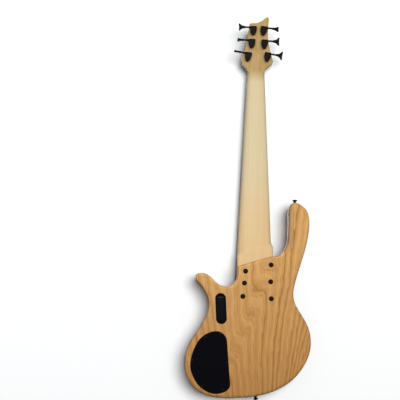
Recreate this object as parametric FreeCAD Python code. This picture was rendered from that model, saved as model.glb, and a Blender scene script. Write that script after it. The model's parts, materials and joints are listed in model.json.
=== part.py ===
import FreeCAD, Part
import math
import os

# Six-string electric bass guitar, in millimetres. The neck runs up +Z, the back lies on Y = 0
# and the front faces -Y. The origin is on the back, on the centre line, at the saddle line.
V = FreeCAD.Vector
X_AXIS = V(1, 0, 0)
Y_AXIS = V(0, 1, 0)
Z_AXIS = V(0, 0, 1)

# Strings, from the thinnest (treble, +X) to the thickest (bass, -X)
SCALE_LENGTH = 889.0
STRING_DIAMETERS = (0.81, 1.14, 1.65, 2.16, 2.67, 3.3)
NUT_STRING_SPACING = 8.7
BRIDGE_STRING_SPACING = 20.5
NUT_ACTION = 0.5
MIDDLE_ACTION = 2.0
STRING_BEND_RADIUS = 8.0
STRING_TURNS = 2
WINDING_GAP = 1.1
SEAT_GAP = 0.3

# Clearances and cutting
FIT_CLEARANCE = 0.15
RUNNING_CLEARANCE = 0.05
OVERRUN = 5.0

# Body
BODY_LENGTH = 554.0
BODY_WIDTH = 357.0
BODY_THICKNESS = 42.0
BODY_EDGE_SHARE = 0.0093
TAIL_SETBACK = 76.3
# Outline as shares of the body's width and of its length above the tail, from the bass end of the
# neck joint round the upper horn, the tail and the lower horn to the treble end of the joint
BODY_OUTLINE_SHARES = (
    (-0.142, 0.717), (-0.183, 0.719), (-0.224, 0.742), (-0.254, 0.778), (-0.266, 0.835),
    (-0.268, 0.911), (-0.272, 0.968), (-0.293, 0.993), (-0.323, 0.999), (-0.362, 0.990),
    (-0.409, 0.964), (-0.433, 0.924), (-0.433, 0.854), (-0.411, 0.775), (-0.366, 0.676),
    (-0.322, 0.580), (-0.308, 0.526), (-0.318, 0.485), (-0.362, 0.432), (-0.424, 0.364),
    (-0.449, 0.295), (-0.433, 0.220), (-0.380, 0.153), (-0.298, 0.093), (-0.180, 0.045),
    (-0.039, 0.015), (0.129, 0.002), (0.281, 0.002), (0.414, 0.025), (0.505, 0.083),
    (0.541, 0.167), (0.523, 0.240), (0.449, 0.328), (0.382, 0.403), (0.360, 0.466),
    (0.380, 0.515), (0.433, 0.564), (0.468, 0.593), (0.463, 0.614), (0.433, 0.622),
    (0.374, 0.615), (0.317, 0.583), (0.246, 0.557), (0.194, 0.561), (0.152, 0.586),
    (0.136, 0.627), (0.138, 0.660),
)
# Belly contour: a long round along the bass side of the back, which meets the back at a slight angle
BELLY_X_SHARE = -0.3154
BELLY_TOP_SHARE = 0.526
BELLY_RADIUS = 200.0
BELLY_START = 10.0

# Neck, fretboard and frets
NUT_WIDTH = 50.4
NECK_END_WIDTH = 112.0
NECK_NUT_DEPTH = 14.6
NECK_HEEL_DEPTH = 17.5
HEEL_DEPTH = 21.5
POCKET_DEPTH = 17.0
HEEL_OVERHANG = 47.0
HEEL_SLOPE_LENGTH = 16.0
HEEL_SLANT_SHARE = -0.275
HEEL_BASS_FLARE = 5.0
HEEL_TONGUE = 16.0
POCKET_CLEARANCE = 0.3
NECK_BLEND_LENGTH = 45.0
NECK_ROUND_FULLNESS = 2.4
HEEL_FULLNESS = 9.0
HEAD_END_FULLNESS = 4.0
SECTION_STEPS = 14
BOARD_OVERHANG = 19.25
BOARD_THICKNESS = 7.0
CROWN_RADIUS = 508.0
FRET_COUNT = 24
FRET_WIDTH = 2.7
FRET_HEIGHT = 1.2
FRET_END_INSET = 0.6
FRET_SHOULDER_SHARE = 0.6
FRET_TOP_SHARE = 0.45
DOT_FRETS = (3, 5, 7, 9, 15, 17, 19, 21)
DOUBLE_DOT_FRETS = (12, 24)
DOT_RADIUS = 3.2
DOT_THICKNESS = 1.6
DOUBLE_DOT_OFFSET = 18.0
NUT_THICKNESS = 5.0
NUT_RISE = 1.3
NUT_SLOT_CLEARANCE = 0.2

# Truss rod and its cover
TRUSS_WIDTH = 6.0
TRUSS_DEPTH = 9.0
TRUSS_END_SETOFF = 57.0
TRUSS_NUT_RADIUS = 3.6
TRUSS_NUT_LENGTH = 12.0
TRUSS_KEY_RADIUS = 2.0
TRUSS_POCKET_LENGTH = 24.0
TRUSS_POCKET_WIDTH = 11.0
TRUSS_POCKET_DEPTH = 9.0
TRUSS_COVER_LENGTH = 38.0
TRUSS_COVER_WIDTH = 22.0
TRUSS_COVER_TOP_WIDTH = 14.0
TRUSS_COVER_THICKNESS = 2.0
TRUSS_COVER_SETOFF = 2.0
TRUSS_COVER_CORNER = 2.5
TRUSS_COVER_SCREW_INSET = 4.0

# Headstock
HEAD_ANGLE = 9.0
HEAD_LENGTH = 151.5
HEAD_WIDTH = 95.0
HEAD_THICKNESS = 15.0
HEAD_EDGE_RADIUS = 1.8
HEAD_PIVOT_SETOFF = 1.0
# Outline as shares of the headstock's width and length, from the treble side of the nut
HEAD_OUTLINE_SHARES = (
    (0.250, -0.110), (0.280, -0.056), (0.345, -0.012), (0.405, 0.028), (0.452, 0.078),
    (0.470, 0.140), (0.445, 0.228), (0.389, 0.313), (0.343, 0.412), (0.295, 0.582),
    (0.260, 0.737), (0.248, 0.822), (0.235, 0.857), (0.201, 0.871), (0.085, 0.874),
    (-0.025, 0.886), (-0.125, 0.915), (-0.224, 0.962), (-0.296, 0.994), (-0.340, 1.000),
    (-0.366, 0.977), (-0.367, 0.914), (-0.355, 0.779), (-0.345, 0.695), (-0.357, 0.582),
    (-0.384, 0.454), (-0.434, 0.334), (-0.489, 0.207), (-0.525, 0.140), (-0.526, 0.092),
    (-0.489, 0.058), (-0.403, 0.023), (-0.328, -0.027), (-0.280, -0.066), (-0.250, -0.118),
)

# Tuners: post places as shares of the headstock, the turn of each housing and of each key at rest
POST_PLACE_SHARES = (
    (0.264, 0.207), (0.157, 0.471), (0.118, 0.727), (-0.210, 0.727), (-0.244, 0.463), (-0.348, 0.209),
)
TUNER_TURNS = (8.0, 0.0, 0.0, 6.5, 2.5, 8.0)
KEY_REST_TURNS = (75.0, 90.0, 34.0, 51.0, 20.0, 5.0)
POST_RADIUS = 5.0
POST_WAIST_RADIUS = 4.2
POST_FLANGE_RADIUS = 6.2
POST_FLANGE_THICKNESS = 1.5
POST_WAIST_LENGTH = 13.0
POST_CAP_THICKNESS = 2.5
POST_SLOT_WIDTH = 3.6
POST_SLOT_DEPTH = 4.0
BUSHING_RADIUS = 7.0
BUSHING_FLANGE_RADIUS = 8.6
BUSHING_FLANGE_THICKNESS = 3.0
HOUSING_WIDTH = 20.0
HOUSING_HEIGHT = 27.5
HOUSING_THICKNESS = 11.0
HOUSING_TIP_WIDTH = 4.6
HOUSING_CORNER_RADIUS = 2.2
HOUSING_EDGE_RADIUS = 1.4
HOUSING_FLOOR = 2.0
HOUSING_TOP_MARGIN = 3.1
HOUSING_SIDE_LENGTH = 8.5
WORM_OFFSET = 8.4
WORM_RADIUS = 1.8
WORM_LENGTH = 12.0
WHEEL_TEETH = 20
WHEEL_RADIUS = 6.2
WHEEL_TOOTH_DEPTH = 1.1
WHEEL_THICKNESS = 4.0
GEAR_ROOM = 0.4
KEY_JOURNAL_RADIUS = 1.9
KEY_SHAFT_RADIUS = 2.6
KEY_COLLAR_RADIUS = 3.7
KEY_COLLAR_LENGTH = 3.0
KEY_REACH = 44.0
KEY_LENGTH = 16.5
KEY_WIDTH = 27.0
KEY_THICKNESS = 5.4
KEY_EDGE_RADIUS = 0.9
# Half outline of the key's button as shares of its length and half width, from its root
KEY_OUTLINE_SHARES = (
    (0.0, 0.27), (0.2, 0.30), (0.4, 0.42), (0.58, 0.63), (0.72, 0.83), (0.83, 0.96), (0.92, 1.0),
    (0.985, 0.94), (1.0, 0.82), (0.985, 0.58), (0.965, 0.28), (0.96, 0.0),
)

# Neck bolts: places as shares of the neck end's half width and of the pocket's length above its end
BOLT_PLACE_SHARES = (
    (0.468, 0.751), (0.517, 0.466), (0.590, 0.148), (-0.823, 0.914), (-0.804, 0.510), (-0.845, 0.107),
)
BOLT_RADIUS = 2.4
BOLT_LENGTH = 38.0
BOLT_HEAD_RADIUS = 4.6
BOLT_HEAD_HEIGHT = 2.8
FERRULE_RADIUS = 7.1
FERRULE_DEPTH = 5.0
FERRULE_RECESS = 0.4

# Strap buttons
BUTTON_BASE_RADIUS = 5.0
BUTTON_WAIST_RADIUS = 3.4
BUTTON_FLANGE_RADIUS = 6.6
BUTTON_HEIGHT = 10.5
BUTTON_FLANGE_THICKNESS = 2.6
BUTTON_BASE_THICKNESS = 1.6
BUTTON_SCREW_RADIUS = 2.0
BUTTON_SCREW_LENGTH = 34.0
BUTTON_SPOT_DEPTH = 0.9
HORN_BUTTON_SHARE = -0.323
TAIL_BUTTON_SHARE = -0.019
TAIL_BUTTON_TILT = 7.0

# Control cavity, its cover, potentiometers, preamp and jack
COVER_LENGTH_SHARE = 0.308
COVER_WIDTH_SHARE = 0.3123
COVER_X_SHARE = 0.3387
COVER_Z_SHARE = 0.1751
COVER_THICKNESS = 2.5
COVER_LEDGE = 10.0
COVER_SCREW_INSET = 5.0
COVER_SCREW_RADIUS = 1.4
COVER_SCREW_HEAD_RADIUS = 2.8
COVER_SCREW_LENGTH = 12.0
# Cover outline as shares of its width and length about its centre, open where the straight edge runs
COVER_OUTLINE_SHARES = (
    (-0.500, -0.344), (-0.461, -0.421), (-0.366, -0.467), (-0.191, -0.500), (0.024, -0.481),
    (0.275, -0.379), (0.435, -0.221), (0.500, -0.077), (0.487, 0.052), (0.415, 0.207),
    (0.301, 0.347), (0.124, 0.450), (-0.113, 0.500), (-0.259, 0.483), (-0.362, 0.422), (-0.405, 0.349),
)
COVER_SCREW_SHARES = (
    (-0.25, 0.485), (0.16, 0.43), (0.49, 0.03), (0.22, -0.41), (-0.36, -0.46), (-0.452, 0.0),
)
TOP_WOOD = 7.0
POT_PLACE_SHARES = ((-0.20, 0.29), (-0.01, 0.11), (0.04, -0.10), (-0.08, -0.30))
POT_RADIUS = 8.2
POT_HEIGHT = 8.0
POT_BUSHING_RADIUS = 3.5
POT_BUSHING_RISE = 3.0
POT_NUT_RADIUS = 6.2
POT_NUT_THICKNESS = 2.0
KNOB_RADIUS = 9.5
KNOB_TOP_RADIUS = 8.6
KNOB_HEIGHT = 16.0
KNOB_GAP = 0.6
KNOB_EDGE_RADIUS = 1.2
KNOB_BORE_DEPTH = 11.0
KNOB_MARK_WIDTH = 1.2
KNOB_MARK_DEPTH = 0.5
POT_SHAFT_RADIUS = 3.0
PREAMP_WIDTH_SHARE = 0.2152
PREAMP_LENGTH_SHARE = 0.246
PREAMP_BOARD_THICKNESS = 1.6
PREAMP_POST_HEIGHT = 3.0
PREAMP_POST_RADIUS = 2.0
PREAMP_CHIP_HEIGHT = 3.5
PREAMP_X_SHARE = 0.24
PREAMP_Z_SHARE = -0.02
PREAMP_CHIP_SHARE = 0.5
JACK_Z_SHARE = 0.1702
JACK_BARREL_RADIUS = 7.5
JACK_FLANGE_RADIUS = 10.0
JACK_FLANGE_THICKNESS = 2.5
JACK_LENGTH = 33.0
JACK_BORE_RADIUS = 3.25
JACK_BORE_LENGTH = 29.0
JACK_SPOT_DEPTH = 3.0

# Battery box in the back, with its lid hinged at the tail end
BATTERY_BOX_LENGTH = 86.5
BATTERY_BOX_WIDTH = 30.0
BATTERY_BOX_X_SHARE = 0.2633
BATTERY_BOX_Z_SHARE = 0.4431
BATTERY_BOX_TILT = 3.3
BATTERY_BOX_DEPTH = 32.0
BATTERY_FLANGE_THICKNESS = 4.0
BATTERY_WALL = 1.8
BATTERY_TUB_LENGTH = 72.0
BATTERY_TUB_WIDTH = 25.0
LID_LENGTH = 66.0
LID_WIDTH = 21.0
LID_THICKNESS = 2.8
LID_GAP = 0.35
LID_END_RADIUS = 6.0
LID_PIN_RADIUS = 0.8
LID_PIN_LENGTH = 1.6
LID_GRIP_SETBACK = 3.0
LID_GRIP_WIDTH = 3.6
LID_GRIP_DEPTH = 1.2
BATTERY_WIDTH = 17.5
BATTERY_HEIGHT = 26.5
BATTERY_LENGTH = 46.0
BATTERY_EDGE_RADIUS = 1.5
TERMINAL_RADIUS = 3.0
TERMINAL_LENGTH = 2.5
TERMINAL_SPACING = 12.7

# Bridge
BRIDGE_PLATE_WIDTH = 124.0
BRIDGE_PLATE_THICKNESS = 3.0
BRIDGE_REAR = 40.0
BRIDGE_FRONT = 24.0
BRIDGE_WALL_THICKNESS = 3.5
BRIDGE_WALL_HEIGHT = 14.5
BRIDGE_CORNER_RADIUS = 5.0
BRIDGE_SLOT_WIDTH = 4.4
BRIDGE_SCREW_RADIUS = 1.9
BRIDGE_SCREW_HEAD_RADIUS = 3.8
BRIDGE_SCREW_LENGTH = 24.0
BRIDGE_SCREW_PLACE_SHARES = (-0.45, -0.225, 0.0, 0.225, 0.45)
BRIDGE_SCREW_INSET = 6.0
BALL_RADIUS = 3.0
BALL_LENGTH = 5.6
BALL_RISE = 8.4
SADDLE_WIDTH = 17.5
SADDLE_LENGTH = 17.0
SADDLE_BODY_HEIGHT = 7.4
SADDLE_RIDGE_RADIUS = 3.0
SADDLE_EAR_HEIGHT = 1.0
SADDLE_STRING_GAP = 0.6
SADDLE_GROOVE_MARGIN = 0.6
SADDLE_SETBACK = 1.0
SADDLE_SETBACK_STEP = 0.8
SADDLE_FRONT_SHARE = 0.4
SADDLE_LUG_LENGTH = 5.0
SADDLE_LUG_WIDTH = 8.0
GRUB_RADIUS = 1.5
GRUB_SPACING = 11.0
INTONATION_RADIUS = 1.5
INTONATION_HEAD_RADIUS = 2.4
INTONATION_HEAD_LENGTH = 2.6
INTONATION_HEIGHT = 2.6
INTONATION_LENGTH = 44.0
INTONATION_SLOT_WIDTH = 0.7
INTONATION_SLOT_DEPTH = 1.0

# Pickups
PICKUP_LENGTH = 118.0
PICKUP_WIDTH = 39.0
PICKUP_CORNER_RADIUS = 5.0
PICKUP_EDGE_RADIUS = 2.0
PICKUP_RISE = 10.0
PICKUP_CAVITY_DEPTH = 16.0
PICKUP_CAVITY_GAP = 0.8
NECK_PICKUP_SETOFF = 45.0
BRIDGE_PICKUP_SHARE = 0.506
PICKUP_SCREW_RADIUS = 1.5
PICKUP_SCREW_HEAD_RADIUS = 2.8
PICKUP_SCREW_HEAD_HEIGHT = 1.6
PICKUP_SCREW_LENGTH = 34.0
PICKUP_SCREW_INSET = 6.0

# Places that follow from the sizes above
STRING_COUNT = len(STRING_DIAMETERS)
FRONT_Y = -BODY_THICKNESS
POCKET_FLOOR_Y = FRONT_Y + POCKET_DEPTH
GLUE_Y = POCKET_FLOOR_Y - HEEL_DEPTH
BOARD_Y = GLUE_Y - BOARD_THICKNESS
FRET_Y = BOARD_Y - FRET_HEIGHT
NUT_STRING_Y = FRET_Y - NUT_ACTION
SADDLE_STRING_Y = FRET_Y - 2 * MIDDLE_ACTION + NUT_ACTION
NUT_TOP_Z = SCALE_LENGTH + NUT_THICKNESS
HEAD_PIVOT_Z = NUT_TOP_Z + HEAD_PIVOT_SETOFF
BOARD_END_Z = SCALE_LENGTH * 2 ** (-FRET_COUNT / 12) - BOARD_OVERHANG
HEEL_END_Z = BOARD_END_Z - HEEL_TONGUE
BOARD_LENGTH = SCALE_LENGTH - BOARD_END_Z
NECK_LENGTH = SCALE_LENGTH - HEEL_END_Z
TRUSS_END_Z = HEEL_END_Z + TRUSS_END_SETOFF
JOINT_SHARE = (BODY_OUTLINE_SHARES[0][1] + BODY_OUTLINE_SHARES[-1][1]) / 2
JOINT_Z = JOINT_SHARE * BODY_LENGTH - TAIL_SETBACK
HEEL_TOP_Z = JOINT_Z + HEEL_OVERHANG
# The tip of the lower horn sets how round the edge can be
BODY_EDGE_RADIUS = BODY_EDGE_SHARE * BODY_LENGTH ** 2 / BODY_WIDTH
COVER_LENGTH = COVER_LENGTH_SHARE * BODY_LENGTH
COVER_WIDTH = COVER_WIDTH_SHARE * BODY_WIDTH
COVER_X = COVER_X_SHARE * BODY_WIDTH
COVER_Z = COVER_Z_SHARE * BODY_LENGTH - TAIL_SETBACK
PREAMP_WIDTH = PREAMP_WIDTH_SHARE * COVER_WIDTH
PREAMP_LENGTH = PREAMP_LENGTH_SHARE * COVER_LENGTH
JACK_Z = JACK_Z_SHARE * BODY_LENGTH - TAIL_SETBACK
BATTERY_BOX_X = BATTERY_BOX_X_SHARE * BODY_WIDTH
BATTERY_BOX_Z = BATTERY_BOX_Z_SHARE * BODY_LENGTH - TAIL_SETBACK
NECK_PICKUP_Z = BOARD_END_Z - NECK_PICKUP_SETOFF
BRIDGE_PICKUP_Z = BRIDGE_PICKUP_SHARE * NECK_PICKUP_Z
CAVITY_FLOOR_Y = FRONT_Y + TOP_WOOD
BRIDGE_TOP_Y = FRONT_Y - BRIDGE_PLATE_THICKNESS
BALL_Y = BRIDGE_TOP_Y - BALL_RISE
WALL_REAR_Z = -BRIDGE_REAR
WALL_FRONT_Z = WALL_REAR_Z + BRIDGE_WALL_THICKNESS
INTONATION_Y = BRIDGE_TOP_Y - INTONATION_HEIGHT
HEAD_FRAME = FreeCAD.Placement(V(0, GLUE_Y, HEAD_PIVOT_Z), FreeCAD.Rotation(X_AXIS, -HEAD_ANGLE))
BATTERY_FRAME = FreeCAD.Placement(
    V(BATTERY_BOX_X, 0, BATTERY_BOX_Z), FreeCAD.Rotation(Y_AXIS, BATTERY_BOX_TILT))


def block(low, high):
    """Box between two opposite corners."""
    size = high - low
    corner = V(min(low.x, high.x), min(low.y, high.y), min(low.z, high.z))
    return Part.makeBox(abs(size.x), abs(size.y), abs(size.z), corner)


def rod(start, axis, radius, length):
    """Cylinder from a start point along an axis."""
    return Part.makeCylinder(radius, length, start, axis)


def spline(points):
    """Smooth edge through points."""
    curve = Part.BSplineCurve()
    curve.interpolate(points)
    return curve.toShape()


def closed_prism(edges, direction):
    """Prism of a closed chain of edges."""
    return Part.Face(Part.Wire(edges)).extrude(direction)


def polygon_prism(points, direction):
    """Prism of a straight-sided outline."""
    return Part.Face(Part.makePolygon(list(points) + [points[0]])).extrude(direction)


def turned(profile):
    """Solid of revolution about Y of a closed list of (radius, height along Y)."""
    points = [V(radius, height, 0) for radius, height in profile]
    face = Part.Face(Part.makePolygon(points + [points[0]]))
    return face.revolve(V(0, 0, 0), Y_AXIS, 360)


def placed(shape, placement):
    """Copy of a shape moved into a frame."""
    moved = shape.copy()
    moved.Placement = placement.multiply(moved.Placement)
    return moved


def flat_edges(shape, low, high):
    """Long edges that lie in the two planes Y = low and Y = high."""
    found = []
    for edge in shape.Edges:
        span = edge.BoundBox
        offset = min(abs(span.YMin - low), abs(span.YMin - high))
        if max(span.YLength, offset) < RUNNING_CLEARANCE:
            found.append(edge)
    return found


def rounded_plate(width, length, corner, direction, centre):
    """Plate with rounded corners, flat in X and Z."""
    plate = block(V(-width / 2, 0, -length / 2), V(width / 2, direction, length / 2))
    upright = [edge for edge in plate.Edges if edge.BoundBox.YLength > abs(direction) / 2]
    plate = plate.makeFillet(corner, upright)
    plate.translate(centre)
    return plate


def screw(head_radius, head_height, radius, length):
    """Countersunk wood screw along -Y with its head flush at Y = 0."""
    return turned((
        (0, 0), (head_radius, 0), (radius, -head_height), (radius, -length + radius), (0, -length),
    ))


def aimed(shape, point, axis):
    """Shape made along -Y, put at a point and turned so that its outward +Y lies on an axis."""
    return placed(shape, FreeCAD.Placement(point, FreeCAD.Rotation(Y_AXIS, axis)))


def crown_drop(x):
    """How far the crowned board falls away at a distance from its centre line."""
    return CROWN_RADIUS - math.sqrt(CROWN_RADIUS ** 2 - x ** 2)


def neck_half_width(z):
    """Half width of the tapering neck at a height."""
    return (NUT_WIDTH + (NECK_END_WIDTH - NUT_WIDTH) * (SCALE_LENGTH - z) / NECK_LENGTH) / 2


def string_shift(index):
    """Place of a string across the neck, in spacings from the centre line."""
    return (STRING_COUNT - 1) / 2 - index


def nut_point(index):
    """Centre of a string over the nut's front edge."""
    x = string_shift(index) * NUT_STRING_SPACING
    return V(x, NUT_STRING_Y + crown_drop(x) - STRING_DIAMETERS[index] / 2, SCALE_LENGTH)


def saddle_point(index):
    """Centre of a string over its saddle."""
    x = string_shift(index) * BRIDGE_STRING_SPACING
    y = SADDLE_STRING_Y + crown_drop(x) - STRING_DIAMETERS[index] / 2
    return V(x, y, -SADDLE_SETBACK - SADDLE_SETBACK_STEP * index)


def body_point(share):
    """Point of the body outline on the back."""
    return V(share[0] * BODY_WIDTH, 0, share[1] * BODY_LENGTH - TAIL_SETBACK)


def cover_edges(width, length):
    """Outline of the control cover, or of its cavity, at a given size."""
    points = [V(COVER_X + x * width, 0, COVER_Z + z * length) for x, z in COVER_OUTLINE_SHARES]
    return [spline(points), Part.LineSegment(points[-1], points[0]).toShape()]


def cover_screw_points():
    """Places of the control cover's screws on the back."""
    width = COVER_WIDTH - 2 * COVER_SCREW_INSET
    length = COVER_LENGTH - 2 * COVER_SCREW_INSET
    return [V(COVER_X + x * width, 0, COVER_Z + z * length) for x, z in COVER_SCREW_SHARES]


def pot_points():
    """Places of the potentiometers on the floor of the control cavity."""
    points = []
    for x, z in POT_PLACE_SHARES:
        points.append(V(COVER_X + x * COVER_WIDTH, CAVITY_FLOOR_Y, COVER_Z + z * COVER_LENGTH))
    return points


def bolt_points():
    """Places of the neck bolts on the back."""
    half = NECK_END_WIDTH / 2
    depth = JOINT_Z - HEEL_END_Z
    return [V(x * half, 0, HEEL_END_Z + z * depth) for x, z in BOLT_PLACE_SHARES]


def stadium(length, width, direction):
    """Plate with half-round ends along Z, on Y = 0."""
    half = (length - width) / 2
    right = V(width / 2, 0, half)
    left = V(-width / 2, 0, half)
    low_right = V(width / 2, 0, -half)
    low_left = V(-width / 2, 0, -half)
    edges = [
        Part.LineSegment(low_right, right).toShape(),
        Part.Arc(right, V(0, 0, length / 2), left).toShape(),
        Part.LineSegment(left, low_left).toShape(),
        Part.Arc(low_left, V(0, 0, -length / 2), low_right).toShape(),
    ]
    return closed_prism(edges, V(0, direction, 0))


def strap_button_frames(outline):
    """Frames of the two strap buttons, with +Y outwards, seated on flats on the body's edge."""
    frames = []
    middle_y = FRONT_Y / 2
    for share, tilt, upward in ((HORN_BUTTON_SHARE, 0, True), (TAIL_BUTTON_SHARE, TAIL_BUTTON_TILT, False)):
        x = share * BODY_WIDTH
        probe = Part.LineSegment(V(x, 0, -BODY_LENGTH), V(x, 0, BODY_LENGTH)).toShape()
        heights = [vertex.Z for vertex in outline.common(probe).Vertexes]
        edge_z = max(heights) if upward else min(heights)
        outward = V(0, 0, 1) if upward else V(-math.sin(math.radians(tilt)), 0, -math.cos(math.radians(tilt)))
        seat = V(x, middle_y, edge_z) - outward * BUTTON_SPOT_DEPTH
        frames.append((seat, outward))
    return frames


def belly_tool():
    """Cutter for the belly contour: what lies outside a long round along Z."""
    start_x = BELLY_X_SHARE * BODY_WIDTH
    middle_x = start_x + BELLY_START
    axis_y = -math.sqrt(BELLY_RADIUS ** 2 - BELLY_START ** 2)
    end_x = -BODY_WIDTH / 2
    reach = middle_x - end_x
    points = []
    for along in (BELLY_START, (BELLY_START + reach) / 2, reach):
        points.append(V(middle_x - along, axis_y + math.sqrt(BELLY_RADIUS ** 2 - along ** 2), -TAIL_SETBACK))
    above_start = V(start_x, OVERRUN, -TAIL_SETBACK)
    above_end = V(end_x, OVERRUN, -TAIL_SETBACK)
    edges = [
        Part.Arc(points[0], points[1], points[2]).toShape(),
        Part.LineSegment(points[2], above_end).toShape(),
        Part.LineSegment(above_end, above_start).toShape(),
        Part.LineSegment(above_start, points[0]).toShape(),
    ]
    return closed_prism(edges, V(0, 0, BELLY_TOP_SHARE * BODY_LENGTH))


def rim_edges(body):
    """Edges round the back and the front, without the upright ones and the start of the belly contour."""
    start_x = BELLY_X_SHARE * BODY_WIDTH
    found = []
    for edge in body.Edges:
        span = edge.BoundBox
        upright = span.YLength > BODY_THICKNESS / 2
        contour = span.XLength < RUNNING_CLEARANCE and abs(span.XMin - start_x) < RUNNING_CLEARANCE
        if not upright and not contour:
            found.append(edge)
    return found


def make_body(frames):
    """Body with its rounded edges, pocket, cavities and holes."""
    points = [body_point(share) for share in BODY_OUTLINE_SHARES]
    edges = [spline(points), Part.LineSegment(points[-1], points[0]).toShape()]
    body = closed_prism(edges, V(0, FRONT_Y, 0)).cut(belly_tool())
    body = body.makeFillet(BODY_EDGE_RADIUS, rim_edges(body))
    tools = [pocket_tool()]
    for pickup_z in (NECK_PICKUP_Z, BRIDGE_PICKUP_Z):
        tools.append(rounded_plate(
            PICKUP_LENGTH + 2 * PICKUP_CAVITY_GAP, PICKUP_WIDTH + 2 * PICKUP_CAVITY_GAP,
            PICKUP_CORNER_RADIUS, PICKUP_CAVITY_DEPTH + OVERRUN, V(0, FRONT_Y - OVERRUN, pickup_z)))
        for point in pickup_screw_points(pickup_z):
            depth = PICKUP_SCREW_LENGTH - PICKUP_RISE + FIT_CLEARANCE
            start = V(point.x, FRONT_Y, point.z)
            tools.append(rod(start, Y_AXIS, PICKUP_SCREW_RADIUS + RUNNING_CLEARANCE, depth))
    tools.append(closed_prism(
        cover_edges(COVER_WIDTH + 2 * FIT_CLEARANCE, COVER_LENGTH + 2 * FIT_CLEARANCE),
        V(0, -COVER_THICKNESS, 0)))
    tools.append(closed_prism(
        cover_edges(COVER_WIDTH - 2 * COVER_LEDGE, COVER_LENGTH - 2 * COVER_LEDGE), V(0, CAVITY_FLOOR_Y, 0)))
    for point in cover_screw_points():
        tools.append(rod(
            point, -Y_AXIS, COVER_SCREW_RADIUS + RUNNING_CLEARANCE, COVER_SCREW_LENGTH + FIT_CLEARANCE))
    for point in pot_points():
        tools.append(rod(point, -Y_AXIS, POT_BUSHING_RADIUS + FIT_CLEARANCE, TOP_WOOD + OVERRUN))
    recess = stadium(
        BATTERY_BOX_LENGTH + 2 * FIT_CLEARANCE, BATTERY_BOX_WIDTH + 2 * FIT_CLEARANCE,
        -BATTERY_FLANGE_THICKNESS)
    tub = block(
        V(-BATTERY_TUB_WIDTH / 2 - FIT_CLEARANCE, -BATTERY_BOX_DEPTH, -BATTERY_TUB_LENGTH / 2 - FIT_CLEARANCE),
        V(BATTERY_TUB_WIDTH / 2 + FIT_CLEARANCE, 0, BATTERY_TUB_LENGTH / 2 + FIT_CLEARANCE))
    tools.append(placed(recess, BATTERY_FRAME))
    tools.append(placed(tub, BATTERY_FRAME))
    for point in bolt_points():
        tools.append(rod(point, -Y_AXIS, FERRULE_RADIUS + RUNNING_CLEARANCE, FERRULE_DEPTH + FERRULE_RECESS))
        tools.append(rod(point, -Y_AXIS, BOLT_RADIUS + FIT_CLEARANCE, BODY_THICKNESS))
    for point in bridge_screw_points():
        depth = BRIDGE_SCREW_LENGTH - BRIDGE_PLATE_THICKNESS + FIT_CLEARANCE
        start = V(point.x, FRONT_Y, point.z)
        tools.append(rod(start, Y_AXIS, BRIDGE_SCREW_RADIUS + RUNNING_CLEARANCE, depth))
    for seat, outward in frames:
        tools.append(rod(seat, outward, BUTTON_BASE_RADIUS + FIT_CLEARANCE, OVERRUN))
        depth = BUTTON_SCREW_LENGTH - BUTTON_HEIGHT + FIT_CLEARANCE
        tools.append(rod(seat, -outward, BUTTON_SCREW_RADIUS + RUNNING_CLEARANCE, depth))
    jack = jack_seat()
    tools.append(rod(jack, X_AXIS, JACK_FLANGE_RADIUS + FIT_CLEARANCE, JACK_SPOT_DEPTH + OVERRUN))
    tools.append(rod(jack, -X_AXIS, JACK_BARREL_RADIUS + FIT_CLEARANCE, JACK_LENGTH))
    return body.cut(tools)


def jack_seat():
    """Seat of the output jack's flange in the treble edge of the body."""
    edge_x = max(share[0] for share in BODY_OUTLINE_SHARES) * BODY_WIDTH
    return V(edge_x - JACK_SPOT_DEPTH, FRONT_Y / 2, JACK_Z)


def heel_corners():
    """Treble and bass corners of the heel where it reaches full depth and at its end, as (x, z)."""
    full_z = HEEL_TOP_Z - HEEL_SLOPE_LENGTH
    treble = neck_half_width(full_z)
    bass = treble + HEEL_BASS_FLARE
    top_treble = (treble, full_z + HEEL_SLANT_SHARE * treble)
    top_bass = (-bass, full_z - HEEL_SLANT_SHARE * bass)
    return top_treble, top_bass, (treble, HEEL_END_Z), (-bass, HEEL_END_Z)


def pocket_tool():
    """Cutter for the neck pocket, open to the front and to the neck joint."""
    top_treble, top_bass, end_treble, end_bass = heel_corners()
    room = POCKET_CLEARANCE
    start_y = FRONT_Y - OVERRUN
    points = [
        V(end_treble[0] + room, start_y, end_treble[1] - room),
        V(top_treble[0] + room, start_y, top_treble[1]),
        V(top_bass[0] - room, start_y, top_bass[1]),
        V(end_bass[0] - room, start_y, end_bass[1] - room),
    ]
    return polygon_prism(points, V(0, POCKET_DEPTH + OVERRUN, 0))


def neck_section(z, slant, treble, bass, depth, fullness):
    """Wire of the neck's section: flat glue face and a carved back of a given fullness."""
    points = []
    for step in range(SECTION_STEPS + 1):
        angle = math.pi * step / SECTION_STEPS
        across = math.copysign(abs(math.cos(angle)) ** (2 / fullness), math.cos(angle))
        x = across * (treble if across > 0 else bass)
        y = GLUE_Y + depth * abs(math.sin(angle)) ** (2 / fullness)
        points.append(V(x, y, z + slant * x))
    return Part.Wire([spline(points), Part.LineSegment(points[-1], points[0]).toShape()])


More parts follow.
